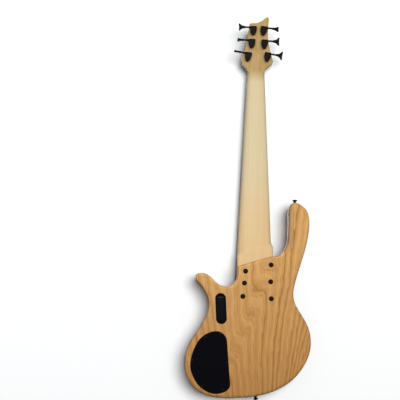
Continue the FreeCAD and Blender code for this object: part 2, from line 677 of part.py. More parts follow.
def make_neck():
    """Neck: carved shaft, slanted heel and tilted headstock, with its slots and holes."""
    top_treble, top_bass, end_treble, end_bass = heel_corners()
    head_half = neck_half_width(HEAD_PIVOT_Z)
    blend_z = HEAD_PIVOT_Z - NECK_BLEND_LENGTH
    blend_half = neck_half_width(blend_z)
    heel_half = neck_half_width(HEEL_TOP_Z)
    full_z = HEEL_TOP_Z - HEEL_SLOPE_LENGTH
    sections = [
        neck_section(HEAD_PIVOT_Z, 0, head_half, head_half, NECK_NUT_DEPTH, HEAD_END_FULLNESS),
        neck_section(blend_z, 0, blend_half, blend_half, NECK_NUT_DEPTH, NECK_ROUND_FULLNESS),
        neck_section(HEEL_TOP_Z, HEEL_SLANT_SHARE, heel_half, heel_half, NECK_HEEL_DEPTH, NECK_ROUND_FULLNESS),
        neck_section(full_z, HEEL_SLANT_SHARE, top_treble[0], -top_bass[0], HEEL_DEPTH, HEEL_FULLNESS),
        neck_section(HEEL_END_Z, 0, end_treble[0], -end_bass[0], HEEL_DEPTH, HEEL_FULLNESS),
    ]
    shaft = Part.makeLoft(sections, True, True)
    heel_plane = block(
        V(-NECK_END_WIDTH, POCKET_FLOOR_Y, HEEL_END_Z - OVERRUN),
        V(NECK_END_WIDTH, POCKET_FLOOR_Y + OVERRUN, HEEL_TOP_Z + HEEL_SLOPE_LENGTH))
    neck = shaft.cut(heel_plane).fuse(make_headstock())
    rod_room = TRUSS_WIDTH / 2 + FIT_CLEARANCE
    tools = [block(
        V(-rod_room, GLUE_Y - OVERRUN, TRUSS_END_Z - FIT_CLEARANCE),
        V(rod_room, GLUE_Y + TRUSS_DEPTH + FIT_CLEARANCE, HEAD_PIVOT_Z + TRUSS_NUT_LENGTH))]
    pocket = block(
        V(-TRUSS_POCKET_WIDTH / 2, -OVERRUN, -HEAD_PIVOT_SETOFF),
        V(TRUSS_POCKET_WIDTH / 2, TRUSS_POCKET_DEPTH, TRUSS_POCKET_LENGTH))
    tools.append(placed(pocket, HEAD_FRAME))
    for x, z in truss_screw_places():
        tools.append(placed(
            rod(V(x, 0, z), Y_AXIS, COVER_SCREW_RADIUS + RUNNING_CLEARANCE, COVER_SCREW_LENGTH), HEAD_FRAME))
    for point in bolt_points():
        tip = V(point.x, -FERRULE_RECESS - BOLT_LENGTH - FIT_CLEARANCE, point.z)
        tools.append(rod(tip, Y_AXIS, BOLT_RADIUS + RUNNING_CLEARANCE, BOLT_LENGTH))
    for index in range(STRING_COUNT):
        tools.append(placed(
            rod(V(0, OVERRUN, 0), -Y_AXIS, BUSHING_RADIUS + RUNNING_CLEARANCE, HEAD_THICKNESS + 2 * OVERRUN),
            tuner_frame(index)))
    return neck.cut(tools)


def make_headstock():
    """Headstock plate, tilted back, with its front below the nut cut level with the glue face."""
    points = [V(x * HEAD_WIDTH, 0, z * HEAD_LENGTH) for x, z in HEAD_OUTLINE_SHARES]
    edges = [spline(points), Part.LineSegment(points[-1], points[0]).toShape()]
    plate = closed_prism(edges, V(0, HEAD_THICKNESS, 0))
    rims = [edge for edge in flat_edges(plate, 0, HEAD_THICKNESS) if edge.Length > HEAD_WIDTH]
    plate = placed(plate.makeFillet(HEAD_EDGE_RADIUS, rims), HEAD_FRAME)
    front = block(
        V(-HEAD_WIDTH, GLUE_Y - HEAD_THICKNESS, HEAD_PIVOT_Z - HEAD_LENGTH),
        V(HEAD_WIDTH, GLUE_Y, HEAD_PIVOT_Z))
    return plate.cut(front)


def make_fretboard():
    """Crowned, tapering board with the pockets of its dots."""
    low = neck_half_width(BOARD_END_Z)
    high = neck_half_width(SCALE_LENGTH)
    points = [V(-low, GLUE_Y, BOARD_END_Z), V(low, GLUE_Y, BOARD_END_Z), V(high, GLUE_Y, SCALE_LENGTH),
              V(-high, GLUE_Y, SCALE_LENGTH)]
    slab = polygon_prism(points, V(0, -BOARD_THICKNESS - OVERRUN, 0))
    board = slab.common(crown_cylinder(BOARD_Y))
    return board.cut([dot for dot in dot_rods()])


def crown_cylinder(top_y):
    """Large cylinder whose front is the crown of the board or the nut."""
    start = V(0, top_y + CROWN_RADIUS, BOARD_END_Z - OVERRUN)
    return rod(start, Z_AXIS, CROWN_RADIUS, BOARD_LENGTH + NUT_THICKNESS + 2 * OVERRUN)


def fret_height(number):
    """Height of a fret on the scale."""
    return SCALE_LENGTH * 2 ** (-number / 12)


def dot_rods():
    """Rods through the board where its position dots lie."""
    rods = []
    for number in DOT_FRETS + DOUBLE_DOT_FRETS:
        z = (fret_height(number) + fret_height(number - 1)) / 2
        offsets = (-DOUBLE_DOT_OFFSET, DOUBLE_DOT_OFFSET) if number in DOUBLE_DOT_FRETS else (0,)
        for x in offsets:
            floor_y = BOARD_Y + crown_drop(x) + DOT_THICKNESS
            rods.append(rod(V(x, floor_y, z), -Y_AXIS, DOT_RADIUS, DOT_THICKNESS + OVERRUN))
    return rods


def make_dots():
    """Position dots, flush with the crown."""
    crown = crown_cylinder(BOARD_Y)
    return [dot.common(crown) for dot in dot_rods()]


def make_frets():
    """Frets: bevelled wire bent to the crown."""
    frets = []
    axis_point = V(0, BOARD_Y + CROWN_RADIUS, 0)
    for number in range(1, FRET_COUNT + 1):
        z = fret_height(number)
        half = FRET_WIDTH / 2
        profile = [
            V(0, BOARD_Y, z - half), V(0, BOARD_Y - FRET_HEIGHT * FRET_SHOULDER_SHARE, z - half),
            V(0, FRET_Y, z - half * FRET_TOP_SHARE), V(0, FRET_Y, z + half * FRET_TOP_SHARE),
            V(0, BOARD_Y - FRET_HEIGHT * FRET_SHOULDER_SHARE, z + half), V(0, BOARD_Y, z + half),
        ]
        face = Part.Face(Part.makePolygon(profile + [profile[0]]))
        reach = math.degrees(math.asin((neck_half_width(z) - FRET_END_INSET) / CROWN_RADIUS))
        face.rotate(axis_point, Z_AXIS, -reach)
        frets.append(face.revolve(axis_point, Z_AXIS, 2 * reach))
    return frets


def make_nut():
    """Nut with a slot for each string."""
    half = neck_half_width(SCALE_LENGTH)
    slab = block(V(-half, NUT_STRING_Y - OVERRUN, SCALE_LENGTH), V(half, GLUE_Y, NUT_TOP_Z))
    nut = slab.common(crown_cylinder(NUT_STRING_Y - NUT_RISE))
    tools = []
    for index in range(STRING_COUNT):
        centre = nut_point(index)
        run = (centre - saddle_point(index)).normalize()
        radius = STRING_DIAMETERS[index] / 2 + NUT_SLOT_CLEARANCE
        start = centre - run * OVERRUN
        left = start - X_AXIS * radius
        right = start + X_AXIS * radius
        rise = Y_AXIS * OVERRUN
        edges = [
            Part.Arc(left, start + Y_AXIS * radius, right).toShape(),
            Part.LineSegment(right, right - rise).toShape(),
            Part.LineSegment(right - rise, left - rise).toShape(),
            Part.LineSegment(left - rise, left).toShape(),
        ]
        tools.append(closed_prism(edges, run * (NUT_THICKNESS + 2 * OVERRUN)))
    return nut.cut(tools)


def make_truss_rod():
    """Truss rod: a bar in the neck with its adjusting nut under the cover."""
    half = TRUSS_WIDTH / 2
    bar = block(
        V(-half, GLUE_Y + FIT_CLEARANCE, TRUSS_END_Z), V(half, GLUE_Y + TRUSS_DEPTH, HEAD_PIVOT_Z))
    centre = V(0, GLUE_Y + TRUSS_DEPTH - TRUSS_NUT_RADIUS, HEAD_PIVOT_Z)
    nut = rod(centre, Z_AXIS, half, TRUSS_NUT_LENGTH)
    socket = rod(centre + Z_AXIS * TRUSS_NUT_LENGTH / 2, Z_AXIS, TRUSS_KEY_RADIUS, TRUSS_NUT_LENGTH)
    return bar.fuse(nut).cut(socket)


def truss_screw_places():
    """Places of the truss cover's two screws on the headstock, as (x, z)."""
    low = TRUSS_COVER_SETOFF + TRUSS_COVER_SCREW_INSET
    high = TRUSS_COVER_SETOFF + TRUSS_COVER_LENGTH - TRUSS_COVER_SCREW_INSET
    side = TRUSS_COVER_WIDTH / 2 - TRUSS_COVER_SCREW_INSET
    return ((-side, low), (side, low), (0, high))


def make_truss_cover():
    """Bell-shaped plate over the truss rod nut."""
    low = TRUSS_COVER_SETOFF
    high = TRUSS_COVER_SETOFF + TRUSS_COVER_LENGTH
    wide = TRUSS_COVER_WIDTH / 2
    narrow = TRUSS_COVER_TOP_WIDTH / 2
    points = [V(-wide, 0, low), V(wide, 0, low), V(narrow, 0, high), V(-narrow, 0, high)]
    plate = polygon_prism(points, V(0, -TRUSS_COVER_THICKNESS, 0))
    upright = [edge for edge in plate.Edges if edge.BoundBox.YLength > TRUSS_COVER_THICKNESS / 2]
    plate = plate.makeFillet(TRUSS_COVER_CORNER, upright)
    holes = [
        rod(V(x, 0, z), -Y_AXIS, COVER_SCREW_RADIUS + RUNNING_CLEARANCE, TRUSS_COVER_THICKNESS)
        for x, z in truss_screw_places()]
    return placed(plate.cut(holes), HEAD_FRAME)


def make_truss_screws():
    """Pan-head screws of the truss cover."""
    pan = turned((
        (0, -COVER_SCREW_LENGTH), (COVER_SCREW_RADIUS, -COVER_SCREW_LENGTH + COVER_SCREW_RADIUS),
        (COVER_SCREW_RADIUS, 0), (COVER_SCREW_HEAD_RADIUS, 0), (COVER_SCREW_RADIUS, COVER_SCREW_RADIUS),
        (0, COVER_SCREW_RADIUS),
    ))
    return [
        placed(aimed(pan, V(x, -TRUSS_COVER_THICKNESS, z), -Y_AXIS), HEAD_FRAME) for x, z in truss_screw_places()]


def tuner_side(index):
    """Side of the headstock that a tuner's key points to."""
    return math.copysign(1, string_shift(index))


def tuner_frame(index):
    """Frame of a tuner: on its post's axis at the headstock's back, +Y outwards."""
    x, z = POST_PLACE_SHARES[index]
    spot = FreeCAD.Placement(
        V(x * HEAD_WIDTH, HEAD_THICKNESS, z * HEAD_LENGTH), FreeCAD.Rotation(Y_AXIS, -TUNER_TURNS[index]))
    return HEAD_FRAME.multiply(spot)


def make_housing(index):
    """Sealed tuner housing: flat at its key shaft and drawn to a point towards the body."""
    side = tuner_side(index)
    half = HOUSING_WIDTH / 2
    top = WORM_OFFSET + HOUSING_TOP_MARGIN
    low = top - HOUSING_HEIGHT
    turn = top - HOUSING_SIDE_LENGTH
    tip = HOUSING_TIP_WIDTH / 2
    taper = half - tip
    drop = turn - low
    radius = (taper ** 2 + drop ** 2) / (2 * taper)
    middle_angle = math.asin(drop / radius) / 2
    bulge_x = half - radius + radius * math.cos(middle_angle)
    middle_z = turn - radius * math.sin(middle_angle)
    edges = [
        Part.LineSegment(V(-half, 0, turn), V(-half, 0, top)).toShape(),
        Part.LineSegment(V(-half, 0, top), V(half, 0, top)).toShape(),
        Part.LineSegment(V(half, 0, top), V(half, 0, turn)).toShape(),
        Part.Arc(V(half, 0, turn), V(bulge_x, 0, middle_z), V(tip, 0, low)).toShape(),
        Part.LineSegment(V(tip, 0, low), V(-tip, 0, low)).toShape(),
        Part.Arc(V(-tip, 0, low), V(-bulge_x, 0, middle_z), V(-half, 0, turn)).toShape(),
    ]
    shell = closed_prism(edges, V(0, HOUSING_THICKNESS, 0))
    upright = [edge for edge in shell.Edges if edge.BoundBox.YLength > HOUSING_THICKNESS / 2]
    corners = [edge for edge in upright if abs(edge.BoundBox.ZMin - turn) > RUNNING_CLEARANCE]
    shell = shell.makeFillet(HOUSING_CORNER_RADIUS, corners)
    rim = [edge for edge in flat_edges(shell, HOUSING_THICKNESS, HOUSING_THICKNESS)]
    shell = shell.makeFillet(HOUSING_EDGE_RADIUS, rim)
    worm = worm_axis_point()
    tools = [
        rod(V(0, HOUSING_FLOOR, 0), Y_AXIS, WHEEL_RADIUS + GEAR_ROOM, WHEEL_THICKNESS + 2 * GEAR_ROOM),
        rod(V(0, -OVERRUN, 0), Y_AXIS, POST_RADIUS + RUNNING_CLEARANCE, HOUSING_FLOOR + OVERRUN),
        rod(worm - X_AXIS * side * (WORM_LENGTH / 2 + GEAR_ROOM), X_AXIS * side, WORM_RADIUS + GEAR_ROOM,
            WORM_LENGTH + 2 * GEAR_ROOM),
        rod(worm, X_AXIS * side, KEY_JOURNAL_RADIUS + RUNNING_CLEARANCE, HOUSING_WIDTH),
    ]
    return placed(shell.cut(tools), tuner_frame(index))


def worm_axis_point():
    """Middle of the worm in a tuner's frame, level with the wheel."""
    return V(0, HOUSING_FLOOR + GEAR_ROOM + WHEEL_THICKNESS / 2, WORM_OFFSET)


def make_bushing(index):
    """Bushing pressed into the headstock's front, which carries the post."""
    front = -HEAD_THICKNESS
    bush = turned((
        (POST_RADIUS + RUNNING_CLEARANCE, 0), (BUSHING_RADIUS, 0), (BUSHING_RADIUS, front),
        (BUSHING_FLANGE_RADIUS, front), (BUSHING_FLANGE_RADIUS, front - BUSHING_FLANGE_THICKNESS),
        (POST_RADIUS + RUNNING_CLEARANCE, front - BUSHING_FLANGE_THICKNESS),
    ))
    return placed(bush, tuner_frame(index))


def make_post(index):
    """String post with its worm wheel: journal, waisted capstan and slotted cap."""
    wheel_low = HOUSING_FLOOR + GEAR_ROOM
    seat = -HEAD_THICKNESS - BUSHING_FLANGE_THICKNESS - SEAT_GAP
    flange = seat - POST_FLANGE_THICKNESS
    cap = flange - POST_WAIST_LENGTH
    end = cap - POST_CAP_THICKNESS
    post = turned((
        (0, wheel_low), (POST_RADIUS, wheel_low), (POST_RADIUS, seat), (POST_FLANGE_RADIUS, seat),
        (POST_FLANGE_RADIUS, flange), (POST_WAIST_RADIUS, flange), (POST_WAIST_RADIUS, cap),
        (POST_FLANGE_RADIUS, cap), (POST_FLANGE_RADIUS, end), (0, end),
    ))
    slot = block(
        V(-POST_SLOT_WIDTH / 2, end - OVERRUN, -POST_FLANGE_RADIUS - OVERRUN),
        V(POST_SLOT_WIDTH / 2, end + POST_SLOT_DEPTH, POST_FLANGE_RADIUS + OVERRUN))
    points = []
    for tooth in range(2 * WHEEL_TEETH):
        angle = math.pi * tooth / WHEEL_TEETH
        radius = WHEEL_RADIUS - (WHEEL_TOOTH_DEPTH if tooth % 2 else 0)
        points.append(V(radius * math.cos(angle), wheel_low, radius * math.sin(angle)))
    wheel = polygon_prism(points, V(0, WHEEL_THICKNESS, 0))
    return placed(post.cut(slot).fuse(wheel), tuner_frame(index))


def make_key(index):
    """Tuning key: worm, shaft, collar and a fishtail button, turned as the photo shows it."""
    side = tuner_side(index)
    root = KEY_REACH - KEY_LENGTH
    half = KEY_WIDTH / 2
    upper = [V(root + x * KEY_LENGTH, 0, z * half) for x, z in KEY_OUTLINE_SHARES]
    lower = [V(point.x, 0, -point.z) for point in reversed(upper[:-1])]
    edges = [spline(upper + lower), Part.LineSegment(lower[-1], upper[0]).toShape()]
    button = closed_prism(edges, V(0, KEY_THICKNESS, 0))
    button.translate(V(0, -KEY_THICKNESS / 2, 0))
    faces = flat_edges(button, -KEY_THICKNESS / 2, KEY_THICKNESS / 2)
    button = button.makeFillet(KEY_EDGE_RADIUS, [edge for edge in faces if edge.Length > KEY_WIDTH])
    worm = rod(V(-WORM_LENGTH / 2, 0, 0), X_AXIS, WORM_RADIUS, WORM_LENGTH)
    outside = HOUSING_WIDTH / 2 + SEAT_GAP
    journal = rod(V(0, 0, 0), X_AXIS, KEY_JOURNAL_RADIUS, outside + KEY_EDGE_RADIUS)
    shaft = rod(V(outside, 0, 0), X_AXIS, KEY_SHAFT_RADIUS, root + KEY_EDGE_RADIUS - outside)
    collar_start = V(root - KEY_COLLAR_LENGTH + KEY_EDGE_RADIUS, 0, 0)
    collar = rod(collar_start, X_AXIS, KEY_COLLAR_RADIUS, KEY_COLLAR_LENGTH)
    key = button.fuse([worm, journal, shaft, collar])
    key.rotate(V(0, 0, 0), X_AXIS, KEY_REST_TURNS[index])
    if side < 0:
        key = key.mirror(V(0, 0, 0), X_AXIS)
    key.translate(worm_axis_point())
    return placed(key, tuner_frame(index))


def make_ferrules():
    """Ferrules that the neck bolts seat in."""
    ferrule = turned((
        (BOLT_RADIUS + FIT_CLEARANCE, -FERRULE_DEPTH), (FERRULE_RADIUS, -FERRULE_DEPTH), (FERRULE_RADIUS, 0),
        (BOLT_HEAD_RADIUS + FIT_CLEARANCE, 0), (BOLT_RADIUS + FIT_CLEARANCE, -BOLT_HEAD_HEIGHT),
    ))
    return [aimed(ferrule, point - Y_AXIS * FERRULE_RECESS, Y_AXIS) for point in bolt_points()]


def make_bolts():
    """Neck bolts."""
    bolt = screw(BOLT_HEAD_RADIUS, BOLT_HEAD_HEIGHT, BOLT_RADIUS, BOLT_LENGTH)
    return [aimed(bolt, point - Y_AXIS * FERRULE_RECESS, Y_AXIS) for point in bolt_points()]


def make_strap_buttons(frames):
    """Strap buttons: waisted turnings with a flange that holds the strap."""
    shoulder = BUTTON_HEIGHT - BUTTON_FLANGE_THICKNESS
    button = turned((
        (BUTTON_SCREW_RADIUS + RUNNING_CLEARANCE, 0), (BUTTON_BASE_RADIUS, 0),
        (BUTTON_BASE_RADIUS, BUTTON_BASE_THICKNESS), (BUTTON_WAIST_RADIUS, BUTTON_HEIGHT / 2),
        (BUTTON_FLANGE_RADIUS, shoulder), (BUTTON_FLANGE_RADIUS, BUTTON_HEIGHT),
        (BUTTON_SCREW_RADIUS + RUNNING_CLEARANCE, BUTTON_HEIGHT),
    ))
    return [aimed(button, seat, outward) for seat, outward in frames]


def make_strap_screws(frames):
    """Screws of the strap buttons."""
    head = BUTTON_SCREW_RADIUS
    body = turned((
        (0, BUTTON_HEIGHT + head), (BUTTON_SCREW_RADIUS + head, BUTTON_HEIGHT),
        (BUTTON_SCREW_RADIUS, BUTTON_HEIGHT),
        (BUTTON_SCREW_RADIUS, BUTTON_HEIGHT - BUTTON_SCREW_LENGTH + BUTTON_SCREW_RADIUS),
        (0, BUTTON_HEIGHT - BUTTON_SCREW_LENGTH),
    ))
    return [aimed(body, seat, outward) for seat, outward in frames]


def make_cover():
    """Control cavity cover, flush in its recess."""
    plate = closed_prism(cover_edges(COVER_WIDTH, COVER_LENGTH), V(0, -COVER_THICKNESS, 0))
    tools = []
    for point in cover_screw_points():
        tools.append(aimed(turned((
            (0, 0), (COVER_SCREW_HEAD_RADIUS + RUNNING_CLEARANCE, 0),
            (COVER_SCREW_RADIUS + RUNNING_CLEARANCE, -COVER_SCREW_RADIUS),
            (COVER_SCREW_RADIUS + RUNNING_CLEARANCE, -COVER_SCREW_LENGTH), (0, -COVER_SCREW_LENGTH),
        )), point, Y_AXIS))
    return plate.cut(tools)


def make_cover_screws():
    """Countersunk screws of the control cover."""
    wood_screw = screw(COVER_SCREW_HEAD_RADIUS, COVER_SCREW_RADIUS, COVER_SCREW_RADIUS, COVER_SCREW_LENGTH)
    return [aimed(wood_screw, point, Y_AXIS) for point in cover_screw_points()]


def make_pots():
    """Potentiometers: round cases on the cavity floor with threaded bushings through the top."""
    pots = []
    for point in pot_points():
        case = rod(point, Y_AXIS, POT_RADIUS, POT_HEIGHT)
        bushing = rod(point, -Y_AXIS, POT_BUSHING_RADIUS, TOP_WOOD + POT_BUSHING_RISE)
        bore_start = point + Y_AXIS * POT_HEIGHT / 2
        bore = rod(bore_start, -Y_AXIS, POT_SHAFT_RADIUS + RUNNING_CLEARANCE, BODY_THICKNESS)
        pots.append(case.fuse(bushing).cut(bore))
    return pots


def make_pot_nuts():
    """Hexagon nuts that hold the potentiometers."""
    nuts = []
    for point in pot_points():
        corners = []
        for corner in range(6):
            angle = math.pi * corner / 3
            corners.append(V(
                point.x + POT_NUT_RADIUS * math.cos(angle), FRONT_Y, point.z + POT_NUT_RADIUS * math.sin(angle)))
        prism = polygon_prism(corners, V(0, -POT_NUT_THICKNESS, 0))
        bore = rod(V(point.x, 0, point.z), -Y_AXIS, POT_BUSHING_RADIUS + RUNNING_CLEARANCE, 2 * BODY_THICKNESS)
        nuts.append(prism.cut(bore))
    return nuts


def make_knob(point):
    """Knob on its shaft, with a pointer groove."""
    base_y = FRONT_Y - POT_BUSHING_RISE - KNOB_GAP
    top_y = base_y - KNOB_HEIGHT
    base = V(point.x, base_y, point.z)
    knob = Part.makeCone(KNOB_RADIUS, KNOB_TOP_RADIUS, KNOB_HEIGHT, base, -Y_AXIS)
    rim = [edge for edge in flat_edges(knob, top_y, top_y)]
    knob = knob.makeFillet(KNOB_EDGE_RADIUS, rim)
    groove = block(
        V(point.x - KNOB_MARK_WIDTH / 2, top_y - OVERRUN, point.z + KNOB_EDGE_RADIUS),
        V(point.x + KNOB_MARK_WIDTH / 2, top_y + KNOB_MARK_DEPTH, point.z + KNOB_RADIUS))
    shaft_start = V(point.x, CAVITY_FLOOR_Y + POT_HEIGHT / 2 - SEAT_GAP, point.z)
    shaft_end_y = base_y - KNOB_BORE_DEPTH
    shaft = rod(shaft_start, -Y_AXIS, POT_SHAFT_RADIUS, shaft_start.y - shaft_end_y)
    return [knob.cut([groove, shaft]), shaft]


def make_preamp():
    """Preamp board on posts in the control cavity."""
    centre = V(COVER_X + PREAMP_X_SHARE * COVER_WIDTH, CAVITY_FLOOR_Y, COVER_Z + PREAMP_Z_SHARE * COVER_LENGTH)
    half_width = PREAMP_WIDTH / 2
    half_length = PREAMP_LENGTH / 2
    board_y = CAVITY_FLOOR_Y + PREAMP_POST_HEIGHT
    board = block(
        V(centre.x - half_width, board_y, centre.z - half_length),
        V(centre.x + half_width, board_y + PREAMP_BOARD_THICKNESS, centre.z + half_length))
    chip_half = half_width * PREAMP_CHIP_SHARE
    chip = block(
        V(centre.x - chip_half, board_y + PREAMP_BOARD_THICKNESS, centre.z - chip_half),
        V(centre.x + chip_half, board_y + PREAMP_BOARD_THICKNESS + PREAMP_CHIP_HEIGHT, centre.z + chip_half))
    inset = 2 * PREAMP_POST_RADIUS
    posts = [
        rod(V(centre.x + side_x * (half_width - inset), CAVITY_FLOOR_Y, centre.z + side_z * (half_length - inset)),
            Y_AXIS, PREAMP_POST_RADIUS, PREAMP_POST_HEIGHT)
        for side_x in (-1, 1) for side_z in (-1, 1)]
    return board.fuse([chip] + posts)


def make_jack():
    """Barrel output jack in the treble edge."""
    seat = jack_seat()
    flange = rod(seat, X_AXIS, JACK_FLANGE_RADIUS, JACK_FLANGE_THICKNESS)
    barrel = rod(seat, -X_AXIS, JACK_BARREL_RADIUS, JACK_LENGTH - JACK_SPOT_DEPTH)
    bore = rod(seat + X_AXIS * JACK_FLANGE_THICKNESS, -X_AXIS, JACK_BORE_RADIUS, JACK_BORE_LENGTH)
    return flange.fuse(barrel).cut(bore)


def lid_hinge_point():
    """Hinge line's middle in the battery box's frame."""
    return V(0, -LID_THICKNESS / 2, -LID_LENGTH / 2 + LID_THICKNESS / 2)


def make_battery_box():
    """Battery box: flange flush with the back and a tub in the body, open where the lid lies."""
    flange = stadium(BATTERY_BOX_LENGTH, BATTERY_BOX_WIDTH, -BATTERY_FLANGE_THICKNESS)
    half_width = BATTERY_TUB_WIDTH / 2
    half_length = BATTERY_TUB_LENGTH / 2
    tub = block(V(-half_width, -BATTERY_BOX_DEPTH, -half_length), V(half_width, -FIT_CLEARANCE, half_length))
    hollow = block(
        V(-half_width + BATTERY_WALL, -BATTERY_BOX_DEPTH + BATTERY_WALL, -half_length + BATTERY_WALL),
        V(half_width - BATTERY_WALL, -BATTERY_FLANGE_THICKNESS, half_length - BATTERY_WALL))
    opening = rounded_plate(
        LID_WIDTH + 2 * LID_GAP, LID_LENGTH + 2 * LID_GAP, RUNNING_CLEARANCE,
        BATTERY_FLANGE_THICKNESS + 2 * OVERRUN, V(0, -BATTERY_FLANGE_THICKNESS - OVERRUN, 0))
    hinge = lid_hinge_point()
    reach = LID_WIDTH / 2 + LID_PIN_LENGTH + LID_GAP
    pins = rod(hinge - X_AXIS * reach, X_AXIS, LID_PIN_RADIUS + RUNNING_CLEARANCE, 2 * reach)
    return placed(flange.fuse(tub).cut([hollow, opening, pins]), BATTERY_FRAME)


def make_battery_lid():
    """Lid with a rounded hinge end, two pins and a finger grip."""
    hinge = lid_hinge_point()
    half = LID_WIDTH / 2
    radius = LID_THICKNESS / 2
    plate = block(V(-half, -LID_THICKNESS, hinge.z), V(half, 0, LID_LENGTH / 2))
    corners = [edge for edge in plate.Edges
               if edge.BoundBox.YLength > radius and edge.BoundBox.ZMin > 0]
    plate = plate.makeFillet(RUNNING_CLEARANCE, corners)
    barrel = rod(hinge - X_AXIS * half, X_AXIS, radius, LID_WIDTH)
    reach = half + LID_PIN_LENGTH
    pin = rod(hinge - X_AXIS * reach, X_AXIS, LID_PIN_RADIUS, 2 * reach)
    grip_top = LID_LENGTH / 2 - LID_GRIP_SETBACK
    grip = block(
        V(-half + LID_END_RADIUS, -LID_GRIP_DEPTH, grip_top - LID_GRIP_WIDTH),
        V(half - LID_END_RADIUS, OVERRUN, grip_top))
    return placed(plate.fuse([barrel, pin]).cut(grip), BATTERY_FRAME)


def make_battery():
    """Nine-volt battery lying in the tub, terminals up."""
    floor_y = -BATTERY_BOX_DEPTH + BATTERY_WALL
    low_z = -BATTERY_TUB_LENGTH / 2 + BATTERY_WALL
    cell = block(
        V(-BATTERY_WIDTH / 2, floor_y, low_z),
        V(BATTERY_WIDTH / 2, floor_y + BATTERY_HEIGHT, low_z + BATTERY_LENGTH))
    upright = [edge for edge in cell.Edges if edge.BoundBox.ZLength > BATTERY_LENGTH / 2]
    cell = cell.makeFillet(BATTERY_EDGE_RADIUS, upright)
    middle_y = floor_y + BATTERY_HEIGHT / 2
    posts = [
        rod(V(0, middle_y + side * TERMINAL_SPACING / 2, low_z + BATTERY_LENGTH), Z_AXIS, TERMINAL_RADIUS,
            TERMINAL_LENGTH)
        for side in (-1, 1)]
    return placed(cell.fuse(posts), BATTERY_FRAME)


def bridge_screw_points():
    """Places of the bridge screws on the plate's front."""
    z = BRIDGE_FRONT - BRIDGE_SCREW_INSET
    return [V(share * BRIDGE_PLATE_WIDTH, BRIDGE_TOP_Y, z) for share in BRIDGE_SCREW_PLACE_SHARES]


def make_bridge():
    """Bridge plate with its upright rear wall, string slots and screw holes."""
    half = BRIDGE_PLATE_WIDTH / 2
    plate = rounded_plate(
        BRIDGE_PLATE_WIDTH, BRIDGE_REAR + BRIDGE_FRONT, BRIDGE_CORNER_RADIUS, -BRIDGE_PLATE_THICKNESS,
        V(0, FRONT_Y, (BRIDGE_FRONT - BRIDGE_REAR) / 2))
    wall = block(
        V(-half + BRIDGE_CORNER_RADIUS, BRIDGE_TOP_Y - BRIDGE_WALL_HEIGHT, WALL_REAR_Z),
        V(half - BRIDGE_CORNER_RADIUS, FRONT_Y - FIT_CLEARANCE, WALL_FRONT_Z))
    tools = []
    for index in range(STRING_COUNT):
        x = saddle_point(index).x
        slot = BRIDGE_SLOT_WIDTH / 2
        tools.append(block(
            V(x - slot, BRIDGE_TOP_Y - BRIDGE_WALL_HEIGHT - OVERRUN, WALL_REAR_Z - OVERRUN),
            V(x + slot, BALL_Y + slot, WALL_FRONT_Z + OVERRUN)))
        tools.append(rod(
            V(x, INTONATION_Y, WALL_REAR_Z - OVERRUN), Z_AXIS, INTONATION_RADIUS + RUNNING_CLEARANCE,
            BRIDGE_WALL_THICKNESS + 2 * OVERRUN))
    for point in bridge_screw_points():
        tools.append(aimed(turned((
            (0, 0), (BRIDGE_SCREW_HEAD_RADIUS + RUNNING_CLEARANCE, 0),
            (BRIDGE_SCREW_RADIUS + RUNNING_CLEARANCE, -BRIDGE_SCREW_RADIUS),
            (BRIDGE_SCREW_RADIUS + RUNNING_CLEARANCE, -BRIDGE_SCREW_LENGTH), (0, -BRIDGE_SCREW_LENGTH),
        )), point, -Y_AXIS))
    return plate.fuse(wall).cut(tools)


def make_bridge_screws():
    """Countersunk screws of the bridge."""
    wood_screw = screw(BRIDGE_SCREW_HEAD_RADIUS, BRIDGE_SCREW_RADIUS, BRIDGE_SCREW_RADIUS, BRIDGE_SCREW_LENGTH)
    return [aimed(wood_screw, point, -Y_AXIS) for point in bridge_screw_points()]


def make_saddle(index):
    """Saddle: block on two grub screws, with a grooved ridge under the string."""
    point = saddle_point(index)
    radius = STRING_DIAMETERS[index] / 2
    crest_y = point.y + radius + SADDLE_STRING_GAP
    top_y = crest_y + SADDLE_RIDGE_RADIUS - SADDLE_EAR_HEIGHT
    bottom_y = crest_y + SADDLE_BODY_HEIGHT
    half = SADDLE_WIDTH / 2
    front_z = point.z + SADDLE_LENGTH * SADDLE_FRONT_SHARE
    rear_z = front_z - SADDLE_LENGTH
    base = block(V(point.x - half, top_y, rear_z), V(point.x + half, bottom_y, front_z))
    lug_half = SADDLE_LUG_WIDTH / 2
    lug = block(
        V(point.x - lug_half, top_y, rear_z),
        V(point.x + lug_half, BRIDGE_TOP_Y - SEAT_GAP, rear_z + SADDLE_LUG_LENGTH))
    ridge = rod(V(point.x - half, top_y, point.z), X_AXIS, SADDLE_RIDGE_RADIUS, SADDLE_WIDTH)
    groove_half = radius + SADDLE_GROOVE_MARGIN
    groove = block(
        V(point.x - groove_half, crest_y - OVERRUN, rear_z - OVERRUN),
        V(point.x + groove_half, crest_y, front_z + OVERRUN))
    thread = rod(
        V(point.x, INTONATION_Y, rear_z - OVERRUN), Z_AXIS, INTONATION_RADIUS + RUNNING_CLEARANCE,
        SADDLE_LENGTH + 2 * OVERRUN)
    grub_z = (front_z + rear_z) / 2
    grubs = []
    holes = []
    for side in (-1, 1):
        x = point.x + side * GRUB_SPACING / 2
        foot = V(x, BRIDGE_TOP_Y - SEAT_GAP, grub_z)
        grubs.append(rod(foot, -Y_AXIS, GRUB_RADIUS, foot.y - top_y - FIT_CLEARANCE))
        holes.append(rod(foot, -Y_AXIS, GRUB_RADIUS + RUNNING_CLEARANCE, BRIDGE_WALL_HEIGHT))
    saddle = base.fuse([ridge, lug]).cut([groove, thread] + holes)
    return [saddle] + grubs


